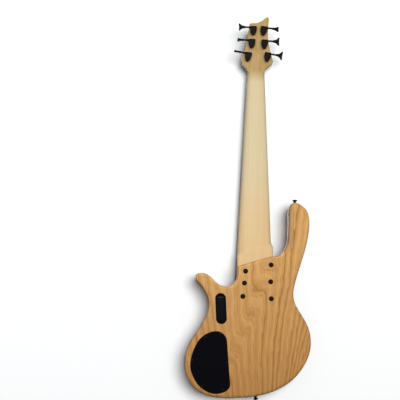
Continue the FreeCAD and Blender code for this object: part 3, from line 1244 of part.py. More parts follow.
def make_intonation_screw(index):
    """Intonation screw: slotted head behind the wall, shank through wall and saddle."""
    x = saddle_point(index).x
    start = V(x, INTONATION_Y, WALL_REAR_Z - FIT_CLEARANCE)
    shank = rod(start, Z_AXIS, INTONATION_RADIUS, INTONATION_LENGTH)
    head = rod(start, -Z_AXIS, INTONATION_HEAD_RADIUS, INTONATION_HEAD_LENGTH)
    end_z = start.z - INTONATION_HEAD_LENGTH
    slot = block(
        V(x - INTONATION_SLOT_WIDTH / 2, INTONATION_Y - OVERRUN, end_z - OVERRUN),
        V(x + INTONATION_SLOT_WIDTH / 2, INTONATION_Y + OVERRUN, end_z + INTONATION_SLOT_DEPTH))
    return shank.fuse(head).cut(slot)


def pickup_screw_points(pickup_z):
    """Places of a pickup's two screws on its top."""
    x = PICKUP_LENGTH / 2 - PICKUP_SCREW_INSET
    return [V(side * x, FRONT_Y - PICKUP_RISE, pickup_z) for side in (-1, 1)]


def make_pickup(pickup_z):
    """Soapbar pickup with rounded corners and edges."""
    case = rounded_plate(
        PICKUP_LENGTH, PICKUP_WIDTH, PICKUP_CORNER_RADIUS, PICKUP_RISE + PICKUP_CAVITY_DEPTH,
        V(0, FRONT_Y - PICKUP_RISE, pickup_z))
    rim = [edge for edge in flat_edges(case, FRONT_Y - PICKUP_RISE, FRONT_Y - PICKUP_RISE)]
    case = case.makeFillet(PICKUP_EDGE_RADIUS, rim)
    holes = [
        rod(point - Y_AXIS * OVERRUN, Y_AXIS, PICKUP_SCREW_RADIUS + RUNNING_CLEARANCE, BODY_THICKNESS)
        for point in pickup_screw_points(pickup_z)]
    return case.cut(holes)


def make_pickup_screws():
    """Pan-head screws of both pickups."""
    pan = turned((
        (0, -PICKUP_SCREW_LENGTH), (PICKUP_SCREW_RADIUS, -PICKUP_SCREW_LENGTH + PICKUP_SCREW_RADIUS),
        (PICKUP_SCREW_RADIUS, 0), (PICKUP_SCREW_HEAD_RADIUS, 0),
        (PICKUP_SCREW_RADIUS, PICKUP_SCREW_HEAD_HEIGHT), (0, PICKUP_SCREW_HEAD_HEIGHT),
    ))
    places = pickup_screw_points(NECK_PICKUP_Z) + pickup_screw_points(BRIDGE_PICKUP_Z)
    return [aimed(pan, point, -Y_AXIS) for point in places]


def make_ball(index):
    """Ball end of a string behind the bridge wall."""
    x = saddle_point(index).x
    centre_z = WALL_REAR_Z - BALL_RADIUS - FIT_CLEARANCE
    return rod(V(x - BALL_LENGTH / 2, BALL_Y, centre_z), X_AXIS, BALL_RADIUS, BALL_LENGTH)


def arc_from_tangent(start, tangent, end):
    """Arc edge that leaves a point along a tangent and ends at another point."""
    chord = end - start
    along = V(chord).normalize()
    side = tangent - along * tangent.dot(along)
    half_turn = math.atan2(side.Length, tangent.dot(along))
    middle = (start + end) / 2 + side.normalize() * (chord.Length / 2 * math.tan(half_turn / 2))
    return Part.Arc(start, middle, end).toShape()


def biarc(start, start_tangent, end, end_tangent):
    """Two tangent arcs that join two points with given tangents."""
    chord = end - start
    both = start_tangent + end_tangent
    square = 2 * (1 - start_tangent.dot(end_tangent))
    linear = 2 * chord.dot(both)
    reach = (-linear + math.sqrt(linear ** 2 + 4 * square * chord.dot(chord))) / (2 * square)
    joint = (start + start_tangent * reach + end - end_tangent * reach) / 2
    join_tangent = ((end - end_tangent * reach) - (start + start_tangent * reach)).normalize()
    return [arc_from_tangent(start, start_tangent, joint), arc_from_tangent(joint, join_tangent, end)]


def corner_arc(before, corner, after, radius):
    """Tangent arc round a corner of the string, with the points where it starts and ends."""
    back = (before - corner).normalize()
    ahead = (after - corner).normalize()
    opening = back.getAngle(ahead)
    setback = radius / math.tan(opening / 2)
    start = corner + back * setback
    end = corner + ahead * setback
    inward = (back + ahead).normalize()
    middle = corner + inward * (radius / math.sin(opening / 2) - radius)
    return start, Part.Arc(start, middle, end).toShape(), end


def winding_point(index, angle, climb):
    """Point of a string's winding in the headstock's frame."""
    x, z = POST_PLACE_SHARES[index]
    radius = winding_radius(index)
    level = -BUSHING_FLANGE_THICKNESS - SEAT_GAP - POST_FLANGE_THICKNESS - SEAT_GAP - STRING_DIAMETERS[index] / 2
    across = x * HEAD_WIDTH + radius * math.cos(angle)
    return V(across, level - climb, z * HEAD_LENGTH + radius * math.sin(angle))


def winding_radius(index):
    """Radius of a string's centre line round its post."""
    return POST_WAIST_RADIUS + SEAT_GAP + STRING_DIAMETERS[index] / 2


def string_path(index):
    """Edges of a string: ball end, saddle, nut and the turns round its post."""
    saddle = saddle_point(index)
    over_nut = nut_point(index)
    run = (over_nut - saddle).normalize()
    nut = saddle + run * ((NUT_TOP_Z + HEAD_PIVOT_SETOFF / 2 - saddle.z) / run.z)
    ball = V(saddle.x, BALL_Y, WALL_REAR_Z - FIT_CLEARANCE / 2)
    side = tuner_side(index)
    to_head = HEAD_FRAME.inverse()
    nut_local = to_head.multVec(nut)
    x, z = POST_PLACE_SHARES[index]
    offset = V(x * HEAD_WIDTH - nut_local.x, 0, z * HEAD_LENGTH - nut_local.z)
    bearing = math.atan2(offset.z, offset.x) + side * math.asin(winding_radius(index) / offset.Length)
    first_angle = bearing + side * math.pi / 2
    touch = HEAD_FRAME.multVec(winding_point(index, first_angle, 0))
    saddle_in, saddle_arc, saddle_out = corner_arc(ball, saddle, nut, STRING_BEND_RADIUS)
    nut_in, nut_arc, nut_out = corner_arc(saddle, nut, touch, STRING_BEND_RADIUS)
    edges = [
        Part.LineSegment(ball, saddle_in).toShape(), saddle_arc,
        Part.LineSegment(saddle_out, nut_in).toShape(), nut_arc,
        Part.LineSegment(nut_out, touch).toShape(),
    ]
    pitch = STRING_DIAMETERS[index] + WINDING_GAP
    slope = pitch / (2 * math.pi * winding_radius(index))
    point = touch
    tangent = (touch - nut_out).normalize()
    for half in range(1, 2 * STRING_TURNS + 1):
        angle = first_angle - side * math.pi * half
        next_point = HEAD_FRAME.multVec(winding_point(index, angle, pitch * half / 2))
        flat = V(side * math.sin(angle), -slope, -side * math.cos(angle))
        next_tangent = HEAD_FRAME.Rotation.multVec(flat).normalize()
        edges += biarc(point, tangent, next_point, next_tangent)
        point = next_point
        tangent = next_tangent
    edges.append(Part.LineSegment(point, point + tangent * STRING_DIAMETERS[index]).toShape())
    return edges


def make_string(index):
    """One string as an unbroken round wire, with its least gap to itself."""
    edges = string_path(index)
    path = Part.Wire(edges)
    start = edges[0].valueAt(edges[0].FirstParameter)
    heading = edges[0].tangentAt(edges[0].FirstParameter)
    section = Part.Wire(Part.makeCircle(STRING_DIAMETERS[index] / 2, start, heading))
    sweep = Part.BRepOffsetAPI.MakePipeShell(path)
    sweep.add(section)
    sweep.build()
    sweep.makeSolid()
    print("string", index + 1, "least gap between turns", round(least_turn_gap(index, edges), 2), "mm")
    return sweep.shape()


def least_turn_gap(index, edges):
    """Least gap between the turns of a string, on points spread along them."""
    points = []
    for edge in edges[5:-1]:
        points += edge.discretize(Number=9)[:-1]
    turn = 32
    gaps = [
        (points[first] - points[second]).Length
        for first in range(len(points)) for second in range(first + turn - 8, len(points))]
    return min(gaps) - STRING_DIAMETERS[index]


def export(name, pieces):
    """Write one node from a solid or a group of separate solids."""
    solids = pieces if isinstance(pieces, list) else [pieces]
    group = [solid for piece in solids for solid in piece.Solids]
    shape = group[0] if len(group) == 1 else Part.makeCompound(group)
    shape.exportStep(os.path.join("parts", name + ".step"))


def build():
    """Make and write every node."""
    os.makedirs("parts", exist_ok=True)
    points = [body_point(share) for share in BODY_OUTLINE_SHARES]
    outline = Part.Face(Part.Wire([spline(points), Part.LineSegment(points[-1], points[0]).toShape()]))
    frames = strap_button_frames(outline)
    export("body", make_body(frames))
    export("neck", make_neck())
    export("fretboard", make_fretboard())
    export("frets", make_frets())
    export("position_dots", make_dots())
    export("nut", make_nut())
    export("truss_rod", make_truss_rod())
    export("truss_rod_cover", make_truss_cover())
    export("truss_rod_cover_screws", make_truss_screws())
    export("neck_bolt_ferrules", make_ferrules())
    export("neck_bolts", make_bolts())
    export("strap_buttons", make_strap_buttons(frames))
    export("strap_button_screws", make_strap_screws(frames))
    export("control_cover", make_cover())
    export("control_cover_screws", make_cover_screws())
    export("potentiometers", make_pots())
    export("potentiometer_nuts", make_pot_nuts())
    export("preamp_board", make_preamp())
    export("output_jack", make_jack())
    export("battery_box", make_battery_box())
    export("battery_lid", make_battery_lid())
    export("battery", make_battery())
    export("bridge_plate", make_bridge())
    export("bridge_screws", make_bridge_screws())
    export("neck_pickup", make_pickup(NECK_PICKUP_Z))
    export("bridge_pickup", make_pickup(BRIDGE_PICKUP_Z))
    export("pickup_screws", make_pickup_screws())
    every = range(STRING_COUNT)
    export("tuner_housings", [make_housing(index) for index in every])
    export("tuner_bushings", [make_bushing(index) for index in every])
    export("string_ball_ends", [make_ball(index) for index in every])
    export("strings", [make_string(index) for index in every])
    for index in every:
        number = str(index + 1)
        export("tuner_key_" + number, make_key(index))
        export("tuner_post_" + number, make_post(index))
        export("saddle_" + number, make_saddle(index))
        export("intonation_screw_" + number, make_intonation_screw(index))
    for number, point in enumerate(pot_points(), 1):
        export("knob_" + str(number), make_knob(point))


build()
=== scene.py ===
"""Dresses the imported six-string bass guitar: woods, metal, plastic, strings and small fittings."""

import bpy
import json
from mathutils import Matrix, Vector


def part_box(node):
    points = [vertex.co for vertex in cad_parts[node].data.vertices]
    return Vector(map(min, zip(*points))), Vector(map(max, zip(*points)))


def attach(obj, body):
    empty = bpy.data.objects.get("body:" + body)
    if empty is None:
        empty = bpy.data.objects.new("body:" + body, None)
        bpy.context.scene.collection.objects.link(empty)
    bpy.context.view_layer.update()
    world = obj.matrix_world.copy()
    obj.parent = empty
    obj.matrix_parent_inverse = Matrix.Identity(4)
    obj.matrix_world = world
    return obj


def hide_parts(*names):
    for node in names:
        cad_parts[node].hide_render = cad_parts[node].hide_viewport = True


bl_info = {
    "name": "Six-String Bass Guitar",
    "version": (1, 0, 0),
    "blender": (4, 5, 0),
    "location": "View3D > Sidebar > Bass",
    "description": "Finishes and fittings of a bolt-on six-string bass guitar around its solid frame",
    "category": "Object",
}

import json
import math

import bmesh
import bpy
from mathutils import Matrix, Vector

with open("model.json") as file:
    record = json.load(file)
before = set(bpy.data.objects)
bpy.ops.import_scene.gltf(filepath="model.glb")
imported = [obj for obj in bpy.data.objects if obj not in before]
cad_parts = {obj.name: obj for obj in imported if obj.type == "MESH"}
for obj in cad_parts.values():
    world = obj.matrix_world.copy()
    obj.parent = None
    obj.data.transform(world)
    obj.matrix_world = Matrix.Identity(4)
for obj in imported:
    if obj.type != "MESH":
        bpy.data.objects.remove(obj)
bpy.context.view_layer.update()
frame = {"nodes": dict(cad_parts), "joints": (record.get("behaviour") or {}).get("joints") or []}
NODES = frame["nodes"]
JOINTS = {joint["name"]: joint for joint in frame["joints"]}
STRINGS = range(1, 7)
KNOBS = range(1, 5)
MM = 0.001

BLACK = (0, 0, 0, 1)
WHITE = (1, 1, 1, 1)

# side dots: fret, and how far each dot is off the middle of its space, in millimetres
SIDE_DOTS = {
    3: (0,), 5: (0,), 7: (0,), 9: (0,), 12: (-4, 4), 15: (0,), 17: (0,), 19: (0,), 21: (0,), 24: (-3, 3)}

# diameters of the strings after the thinnest, and the way of all six, in metres
THICKER_STRINGS = (0.00114, 0.00165, 0.00216, 0.00267, 0.0033)
CROWN_RADIUS = 0.508
NUT_TOP_Y = -0.0552
NUT_EXIT = 0.0055
SADDLE_TOP_Y = -0.0582
FIRST_SADDLE_Z = -0.001
SADDLE_STAGGER = 0.0008
BALL_Y = -0.0534
BALL_Z = -0.040075
HEAD_THICKNESS = 0.015
BUSHING_FLANGE = 0.003
POST_FLANGE = 0.0015
POST_WAIST_RADIUS = 0.0042
CLEARANCE = 0.0003
WINDING_GAP = 0.0011
WINDING_TURNS = 2


def linear(hex_text):
    """sRGB hex text as linear colour."""
    values = []
    for start in (1, 3, 5):
        level = int(hex_text[start:start + 2], 16) / 255
        values.append(level / 12.92 if level <= 0.04045 else ((level + 0.055) / 1.055) ** 2.4)
    return (*values, 1.0)


def grey(level):
    """Grey of a linear level."""
    return (level, level, level, 1)


def scaled(colour, red, green, blue):
    """Colour with each channel times its factor."""
    return (colour[0] * red, colour[1] * green, colour[2] * blue, 1)


def per_metre(size_mm):
    """Texture scale, in repeats per metre, of a pattern of a real size in millimetres."""
    return 1000.0 / size_mm


def add(tree, kind, inputs=None, stops=None, **settings):
    """Add one node with its settings, its ramp stops, and its inputs as values or as sockets to link."""
    node = tree.nodes.new(kind)
    for name, value in settings.items():
        setattr(node, name, value)
    if stops:
        elements = node.color_ramp.elements
        while len(elements) < len(stops):
            elements.new(0.5)
        for element, (place, colour) in zip(elements, stops):
            element.position = place
            element.color = colour
    for name, value in (inputs or {}).items():
        if isinstance(value, bpy.types.NodeSocket):
            tree.links.new(value, node.inputs[name])
        else:
            node.inputs[name].default_value = value
    return node


def calc(tree, operation, *values):
    """Result of a Math node."""
    return add(tree, "ShaderNodeMath", dict(enumerate(values)), operation=operation).outputs[0]


def rising(tree, value, rise, base):
    """A base plus a value times its rise."""
    return calc(tree, "MULTIPLY_ADD", value, rise, base)


def span(tree, value, low, high, to_low=0.0, to_high=1.0, **settings):
    """A value's place between two limits, held within them and brought to another range."""
    limits = {"From Min": low, "From Max": high, "To Min": to_low, "To Max": to_high}
    return add(tree, "ShaderNodeMapRange", {"Value": value, **limits}, **settings).outputs["Result"]


def ramp(tree, value, *stops):
    """Colour that a ramp gives to a value."""
    return add(tree, "ShaderNodeValToRGB", {"Fac": value}, stops=stops).outputs["Color"]


def blend(tree, factor, first, second, way="MIX"):
    """Mix of two colours."""
    mix = add(tree, "ShaderNodeMix", {0: factor, 6: first, 7: second}, data_type="RGBA", blend_type=way)
    return mix.outputs[2]


def tinted(tree, colour, tint):
    """Colour times a tint."""
    return blend(tree, 1.0, colour, tint, "MULTIPLY")


def noise(tree, place, size_mm, detail, roughness, squeeze=None):
    """Noise with a grain of a real size; an axis squeezed below 1 draws the grain out along it."""
    if squeeze:
        place = add(tree, "ShaderNodeMapping", {"Vector": place, "Scale": squeeze}).outputs["Vector"]
    grain = {"Scale": per_metre(size_mm), "Detail": detail, "Roughness": roughness}
    return add(tree, "ShaderNodeTexNoise", {"Vector": place, **grain}).outputs["Fac"]


def new_finish(name, **constants):
    """New material, its tree, and its Principled shader with the constant sockets set."""
    material = bpy.data.materials.new(name)
    material.use_nodes = True
    tree = material.node_tree
    tree.nodes.clear()
    values = {key.replace("_", " "): value for key, value in constants.items()}
    shader = add(tree, "ShaderNodeBsdfPrincipled", values)
    add(tree, "ShaderNodeOutputMaterial", {"Surface": shader.outputs["BSDF"]})
    return material, tree, shader


def object_place(tree):
    """Object coordinates."""
    return add(tree, "ShaderNodeTexCoord").outputs["Object"]


def surface(tree, shader, colour, roughness, height, strength, distance):
    """Give a shader its colour, its roughness and the bumps of a height."""
    bump = add(tree, "ShaderNodeBump", {"Height": height, "Strength": strength, "Distance": distance})
    tree.links.new(colour, shader.inputs["Base Color"])
    tree.links.new(roughness, shader.inputs["Roughness"])
    tree.links.new(bump.outputs["Normal"], shader.inputs["Normal"])


def dress(names, material):
    """Give CAD nodes their finish."""
    for name in names:
        mesh = NODES[name].data
        mesh.materials.clear()
        mesh.materials.append(material)


def length_setting(name, description, default):
    """Setting for a length in metres."""
    return bpy.props.FloatProperty(name=name, description=description, default=default, unit="LENGTH")


def colour_setting(name, description, hex_text):
    """Setting for a colour."""
    return bpy.props.FloatVectorProperty(
        name=name, description=description, subtype="COLOR", size=4, min=0, max=1, default=linear(hex_text))


class BassSizes(bpy.types.PropertyGroup):
    """Sizes of the strings, the side dots' places and the body's grain."""
    scale_length: length_setting("Scale Length", "Nut to saddle line", 0.889)
    nut_spacing: length_setting("Nut Spacing", "String to string at the nut", 0.0087)
    bridge_spacing: length_setting("Bridge Spacing", "String to string at the saddles", 0.0205)
    thinnest_string: length_setting("Thinnest String", "Diameter of the treble string", 0.00081)
    ring_spacing: length_setting("Ring Spacing", "Spacing of the body's growth rings", 0.022)
    arch_step: length_setting("Arch Step", "How far the grain steps sideways at the arches", 0.032)
    arch_lean: bpy.props.FloatProperty(
        name="Arch Lean", description="Sideways run of the line of arches per metre of length", default=0.38)


class BassColours(bpy.types.PropertyGroup):
    """Colours of the finishes."""
    ash_light: colour_setting("Ash Light", "Pale wood between the growth rings", "#D4A05A")
    ash_dark: colour_setting("Ash Dark", "Porous early wood", "#995D21")
    maple_light: colour_setting("Maple Light", "Pale neck wood", "#DBCAA3")
    maple_dark: colour_setting("Maple Dark", "Grain lines of the neck", "#D6C197")
    amber: colour_setting("Headstock Amber", "Deeper varnish of the headstock", "#BA985F")
    board: colour_setting("Fretboard", "Rosewood board", "#3E2619")
    plating: colour_setting("Black Plating", "Strap buttons and small screws", "#0E0D10")
    plastic: colour_setting("Black Plastic", "Covers and battery box", "#060508")


def sizes():
    """Sizes in use."""
    return bpy.context.scene.bass_sizes


def colours():
    """Colours in use."""
    return bpy.context.scene.bass_colours


def grain_line(tree, place, x, z, slow):
    """Distance across the board, in metres, of the grain line that each place is on."""
    wander = 0.036
    across = calc(tree, "ADD", x, rising(tree, slow, rise=wander, base=-wander / 2))
    # the lines fan out towards the horn
    spread = calc(tree, "DIVIDE", across, rising(tree, z, rise=1.4, base=0.76))
    # along a slanting axis each line steps sideways, which draws the arches; it stops below the long horn
    horn_foot = 0.30
    arch_middle = 0.070
    arch_half = 0.026
    axis = rising(tree, calc(tree, "MINIMUM", z, horn_foot), rise=sizes().arch_lean, base=across)
    step = span(tree, axis, arch_middle - arch_half, arch_middle + arch_half, sizes().arch_step, 0.0,
                interpolation_type="SMOOTHSTEP")
    stepped = calc(tree, "ADD", spread, step)
    # kinks about 30 mm wide, strongest at the arches
    kink_reach = 0.06
    kink_most = 0.026
    kink_least = 0.003
    far = calc(tree, "ABSOLUTE", calc(tree, "SUBTRACT", axis, arch_middle))
    near = span(tree, far, 0.0, kink_reach, kink_most, kink_least)
    kinks = noise(tree, place, size_mm=34, detail=2.0, roughness=0.5)
    return rising(tree, calc(tree, "SUBTRACT", kinks, 0.5), rise=near, base=stepped)


def growth_rings(tree, line, streak):
    """Darkness of the growth rings along the grain lines, from 0 to 1."""
    # rings stand closer towards the bass side
    closing_end = 0.02
    closing = rising(
        tree, calc(tree, "MINIMUM", line, closing_end), rise=132.0, base=-1 / sizes().ring_spacing)
    rings = calc(tree, "MULTIPLY", line, closing)
    # the streaks make their edges ragged
    ragged = rising(tree, streak, rise=0.45, base=rings)
    # each year has its own strength
    year = calc(tree, "FLOOR", ragged)
    chance = add(tree, "ShaderNodeTexWhiteNoise", {"W": year}, noise_dimensions="1D").outputs["Value"]
    weight = rising(tree, chance, rise=0.40, base=0.22)
    band = ramp(tree, calc(tree, "FRACT", ragged), (0.0, grey(0.10)), (0.10, grey(0.95)), (0.28, grey(0.40)),
                (0.60, grey(0.04)), (1.0, grey(0.10)))
    strong = calc(tree, "MULTIPLY", band, weight)
    # two fainter lines to each ring
    faint_width = 0.45
    faint_strength = 0.22
    between = calc(tree, "FRACT", rising(tree, ragged, rise=2.0, base=0.35))
    faint = span(tree, between, 0.0, faint_width, faint_strength, 0.0, interpolation_type="SMOOTHSTEP")
    return calc(tree, "MAXIMUM", strong, faint)


def rim_painted_light(tree, x, y, z, colour):
    """Colour of the body: paler on the rounded rim as a painted highlight, and darker inside the long horn as
    painted shade.
    """
    # the back rounds off within 5 mm; the painted rim light leaves out the belly contour on the bass side
    rim_depth = 0.005
    drop = rising(tree, y, rise=1 / rim_depth, base=1.0)
    rounded = ramp(tree, drop, (0.30, BLACK), (0.62, WHITE), (0.90, WHITE), (0.97, BLACK))
    painted_rim_mask = calc(tree, "MULTIPLY", rounded, span(tree, x, -0.10, -0.08))
    # the painted rim is palest round the cutaways, a painted highlight, and greyer towards the tail, a
    # painted shade
    cutaways = 0.27
    beyond = calc(tree, "ABSOLUTE", calc(tree, "SUBTRACT", z, cutaways))
    tint = blend(tree, span(tree, beyond, 0.06, 0.09), (1.20, 1.30, 1.45, 1), (0.93, 1.08, 1.35, 1))
    rim = tinted(tree, colour, blend(tree, painted_rim_mask, WHITE, tint))
    # painted shade: the inner side of the long horn's back is darker
    up_horn = span(tree, z, 0.33, 0.36)
    inward = span(tree, x, -0.115, -0.100)
    at_back = span(tree, y, -0.020, -0.008)
    horn_shade_mask = calc(tree, "MULTIPLY", calc(tree, "MULTIPLY", up_horn, inward), at_back)
    return tinted(tree, rim, blend(tree, horn_shade_mask, WHITE, (0.64, 0.65, 0.74, 1)))


def oiled_ash():
    """Flat-sawn ash under satin oil: ragged arches and long lines of brown early wood over pale wood."""
    material, tree, shader = new_finish(
        "Oiled Flat-Sawn Ash", IOR=1.5, Specular_IOR_Level=0.25, Coat_Weight=0.12, Coat_Roughness=0.2)
    place = object_place(tree)
    x, y, z = add(tree, "ShaderNodeSeparateXYZ", {"Vector": place}).outputs
    # slow wander of the lines, about 80 mm across and 200 mm along
    slow = noise(tree, place, size_mm=80, detail=3.0, roughness=0.55, squeeze=(1.0, 1.0, 0.4))
    # streaks 4 mm wide and 60 mm long
    streak = noise(tree, place, size_mm=4, detail=4.0, roughness=0.6, squeeze=(1.0, 1.0, 0.07))
    # pores 1.3 mm wide and 20 mm long, drawn a little coarse so that they show
    pores = noise(tree, place, size_mm=1.3, detail=3.0, roughness=0.7, squeeze=(1.0, 1.0, 0.06))
    dark = growth_rings(tree, grain_line(tree, place, x, z, slow), streak)
    tone = rising(tree, streak, rise=0.60, base=rising(tree, pores, rise=0.30, base=dark))
    shade = ramp(tree, tone, (0.30, colours().ash_light), (1.0, colours().ash_dark))
    # change of tone from patch to patch
    patch = blend(tree, slow, (1.06, 1.04, 1.0, 1), (0.93, 0.92, 0.90, 1))
    # painted fall-off of light from above: darker towards the tail, paler towards the horn
    painted_falloff = blend(tree, span(tree, z, -0.18, 0.36), (0.81, 0.76, 0.80, 1), (1.19, 1.33, 1.62, 1))
    oiled = tinted(tree, tinted(tree, shade, patch), painted_falloff)
    surface(tree, shader, rim_painted_light(tree, x, y, z, oiled), rising(tree, tone, rise=0.18, base=0.30),
            height=pores, strength=0.05, distance=0.0004)
    return material


def satin_maple():
    """Quarter-sawn hard maple under satin varnish: pale cream with soft straight lines and faint flame."""
    material, tree, shader = new_finish("Satin Hard Maple", IOR=1.5, Specular_IOR_Level=0.3)
    place = object_place(tree)
    z = add(tree, "ShaderNodeSeparateXYZ", {"Vector": place}).outputs["Z"]
    lines = noise(tree, place, size_mm=7, detail=4.0, roughness=0.55, squeeze=(1.0, 1.0, 0.02))
    flame = noise(tree, place, size_mm=30, detail=1.0, roughness=0.5, squeeze=(0.25, 0.25, 1.0))
    tone = rising(tree, flame, rise=0.25, base=lines)
    plain = ramp(tree, tone, (0.40, colours().maple_light), (0.95, colours().maple_dark))
    # the varnish is deeper on the headstock
    amber = colours().amber
    deep = ramp(tree, tone, (0.45, scaled(amber, 1.10, 1.12, 1.16)), (0.80, scaled(amber, 0.84, 0.84, 0.80)))
    varnish = blend(tree, span(tree, z, 0.845, 0.885), plain, deep)
    # and a little warmer towards the heel
    near_heel = span(tree, z, 0.36, 0.60, 1.0, 0.0)
    warmed = tinted(tree, varnish, blend(tree, near_heel, WHITE, (1.09, 0.93, 0.77, 1)))
    surface(tree, shader, warmed, rising(tree, lines, rise=0.12, base=0.34),
            height=lines, strength=0.03, distance=0.0003)
    return material


def oiled_rosewood():
    """Oiled rosewood: dark brown with nearly black streaks along the neck and open pores."""
    material, tree, shader = new_finish("Oiled Rosewood", IOR=1.5)
    lines = noise(tree, object_place(tree), size_mm=3, detail=5.0, roughness=0.65, squeeze=(1.0, 1.0, 0.03))
    board = colours().board
    shade = ramp(tree, lines, (0.3, scaled(board, 0.35, 0.35, 0.4)), (0.72, scaled(board, 1.5, 1.45, 1.35)))
    surface(tree, shader, shade, rising(tree, lines, rise=0.25, base=0.35),
            height=lines, strength=0.15, distance=0.0003)
    return material


def speckled(name, dark, pale, grain_mm, rough, bump, **constants):
    """Finish whose colour, roughness and height vary with one grain of a real size."""
    material, tree, shader = new_finish(name, **constants)
    grain = noise(tree, object_place(tree), grain_mm, detail=4.0, roughness=0.6)
    low = 0.3
    high = 0.7
    shade = ramp(tree, grain, (low, dark), (high, pale))
    surface(tree, shader, shade, span(tree, grain, low, high, *rough),
            height=grain, strength=bump, distance=0.0002)
    return material


def black_plating():
    """Black-plated steel and brass: near black, soft gloss, with a fine tumbled grain."""
    base = colours().plating
    return speckled("Black Plated Metal", base, scaled(base, 1.8, 1.8, 1.8), grain_mm=1.5, rough=(0.26, 0.40),
                    bump=0.04, Metallic=0.55, Specular_IOR_Level=0.25)


def satin_black():
    """Satin black nickel: dark grey in a bright room, with soft lit edges."""
    return speckled("Satin Black Nickel", linear("#2A2A2D"), linear("#3A3A3E"), grain_mm=1.5,
                    rough=(0.28, 0.40), bump=0.04, Metallic=0.7)


def black_chrome():
    """Die-cast zinc under glossy black plating: deep black with clear soft highlights."""
    return speckled("Gloss Black Die-Cast Zinc", linear("#0B0907"), linear("#15110D"), grain_mm=2.5,
                    rough=(0.22, 0.34), bump=0.03, Specular_IOR_Level=0.085)


def satin_plastic():
    """Moulded ABS with a fine spark texture: matt black that greys where it faces the light."""
    base = colours().plastic
    return speckled("Textured Black ABS", base, scaled(base, 1.7, 1.7, 1.9), grain_mm=0.9, rough=(0.42, 0.58),
                    bump=0.10, Specular_IOR_Level=0.03)


def gloss_plastic():
    """Moulded battery lid: smooth black plastic with faint flow lines."""
    base = colours().plastic
    return speckled("Smooth Black Plastic", base, scaled(base, 1.4, 1.4, 1.4), grain_mm=6.0,
                    rough=(0.24, 0.34), bump=0.03, Specular_IOR_Level=0.06)


def pickup_cover():
    """Moulded pickup cover: smooth black plastic with a soft sheen."""
    return speckled("Smooth Black Pickup Cover", linear("#0D0D0F"), linear("#121214"), grain_mm=6.0,
                    rough=(0.30, 0.40), bump=0.03, Specular_IOR_Level=0.28)


def zinc_steel():
    """Zinc-plated steel: pale grey with a slightly cloudy gloss."""
    return speckled("Zinc Plated Steel", linear("#8C8F92"), linear("#B9BCBE"), grain_mm=2.0,
                    rough=(0.25, 0.42), bump=0.05, Metallic=1.0)


def nickel_silver():
    """Polished nickel silver fret wire: warm bright metal with fine wear from the strings."""
    return speckled("Polished Nickel Silver", linear("#B9B2A4"), linear("#DAD5C8"), grain_mm=1.2,
                    rough=(0.14, 0.30), bump=0.05, Metallic=1.0)


def polished_bone():
    """Polished bone: creamy white with faint mottling."""
    return speckled("Polished Bone", linear("#D9CDB0"), linear("#EFE7D2"), grain_mm=3.0,
                    rough=(0.25, 0.38), bump=0.03, IOR=1.5)


def pearl():
    """Pearloid plastic: pale grey-white swirls under a clear gloss."""
    return speckled("Pearloid", linear("#B9BBB8"), linear("#F2F0EA"), grain_mm=2.2,
                    rough=(0.12, 0.22), bump=0.0, IOR=1.5)


def plain_brass():
    """Turned brass ball end, a little dulled."""
    return speckled("Turned Brass", linear("#9C7A3A"), linear("#C9A65A"), grain_mm=1.0,
                    rough=(0.25, 0.4), bump=0.05, Metallic=1.0)


def solder_mask():
    """Circuit board under green solder mask."""
    return speckled("Green Solder Mask", linear("#0F4A22"), linear("#1C6B34"), grain_mm=3.0,
                    rough=(0.3, 0.45), bump=0.05, IOR=1.5)


def battery_jacket():
    """Steel jacket of a battery, left plain."""
    return speckled("Plain Steel Battery Jacket", linear("#33363A"), linear("#4A4E54"), grain_mm=5.0,
                    rough=(0.3, 0.42), bump=0.02, Metallic=0.4)


def wound_steel():
    """Round-wound nickel steel: bright wraps across the string, 0.4 mm wide but drawn at 0.9 mm to show."""
    material, tree, shader = new_finish("Round-Wound Nickel Steel", Metallic=1.0)
    along = add(tree, "ShaderNodeAttribute", attribute_name="along").outputs["Fac"]
    crest = 0.5
    wrap = calc(tree, "PINGPONG", calc(tree, "MULTIPLY", along, per_metre(0.9)), crest)
    shade = ramp(tree, wrap, (0.0, linear("#6E6A63")), (crest, linear("#C9C4BA")))
    surface(tree, shader, shade, rising(tree, wrap, rise=-0.3, base=0.42),
            height=wrap, strength=0.4, distance=0.0002)
    return material


FINISHES = {}


def finish(maker):
    """Material of a finish, made once."""
    if maker.__name__ not in FINISHES:
        FINISHES[maker.__name__] = maker()
    return FINISHES[maker.__name__]


def mesh_object(name, mesh):
    """Object at the origin that shows a mesh."""
    piece = bpy.data.objects.new(name, mesh)
    bpy.context.scene.collection.objects.link(piece)
    return piece


def mesh_from(name, work):
    """Mesh of finished bmesh work, which is freed."""
    mesh = bpy.data.meshes.new(name)
    work.to_mesh(mesh)
    work.free()
    return mesh


def block(width, depth, height):
    """Bmesh work with a block of a size in millimetres round the origin."""
    work = bmesh.new()
    bmesh.ops.create_cube(work, size=1.0)
    bmesh.ops.scale(work, verts=work.verts, vec=(width * MM, depth * MM, height * MM))
    return work


def node_tree(name, sockets):
    """Empty Geometry Nodes tree with named inputs, and the identifiers of those inputs."""
    tree = bpy.data.node_groups.new(name, "GeometryNodeTree")
    tree.interface.new_socket("Geometry", in_out="INPUT", socket_type="NodeSocketGeometry")
    tree.interface.new_socket("Geometry", in_out="OUTPUT", socket_type="NodeSocketGeometry")
    identifiers = {}
    for label, kind in sockets:
        identifiers[label] = tree.interface.new_socket(label, in_out="INPUT", socket_type=kind).identifier
    return tree, identifiers


def paint(tree, geometry, given):
    """End a tree with its finish on plain geometry."""
    real = add(tree, "GeometryNodeRealizeInstances", {"Geometry": geometry})
    painted = add(tree, "GeometryNodeSetMaterial", {
        "Geometry": real.outputs["Geometry"], "Material": given.outputs["Finish"]})
    add(tree, "NodeGroupOutput", {"Geometry": painted.outputs["Geometry"]})


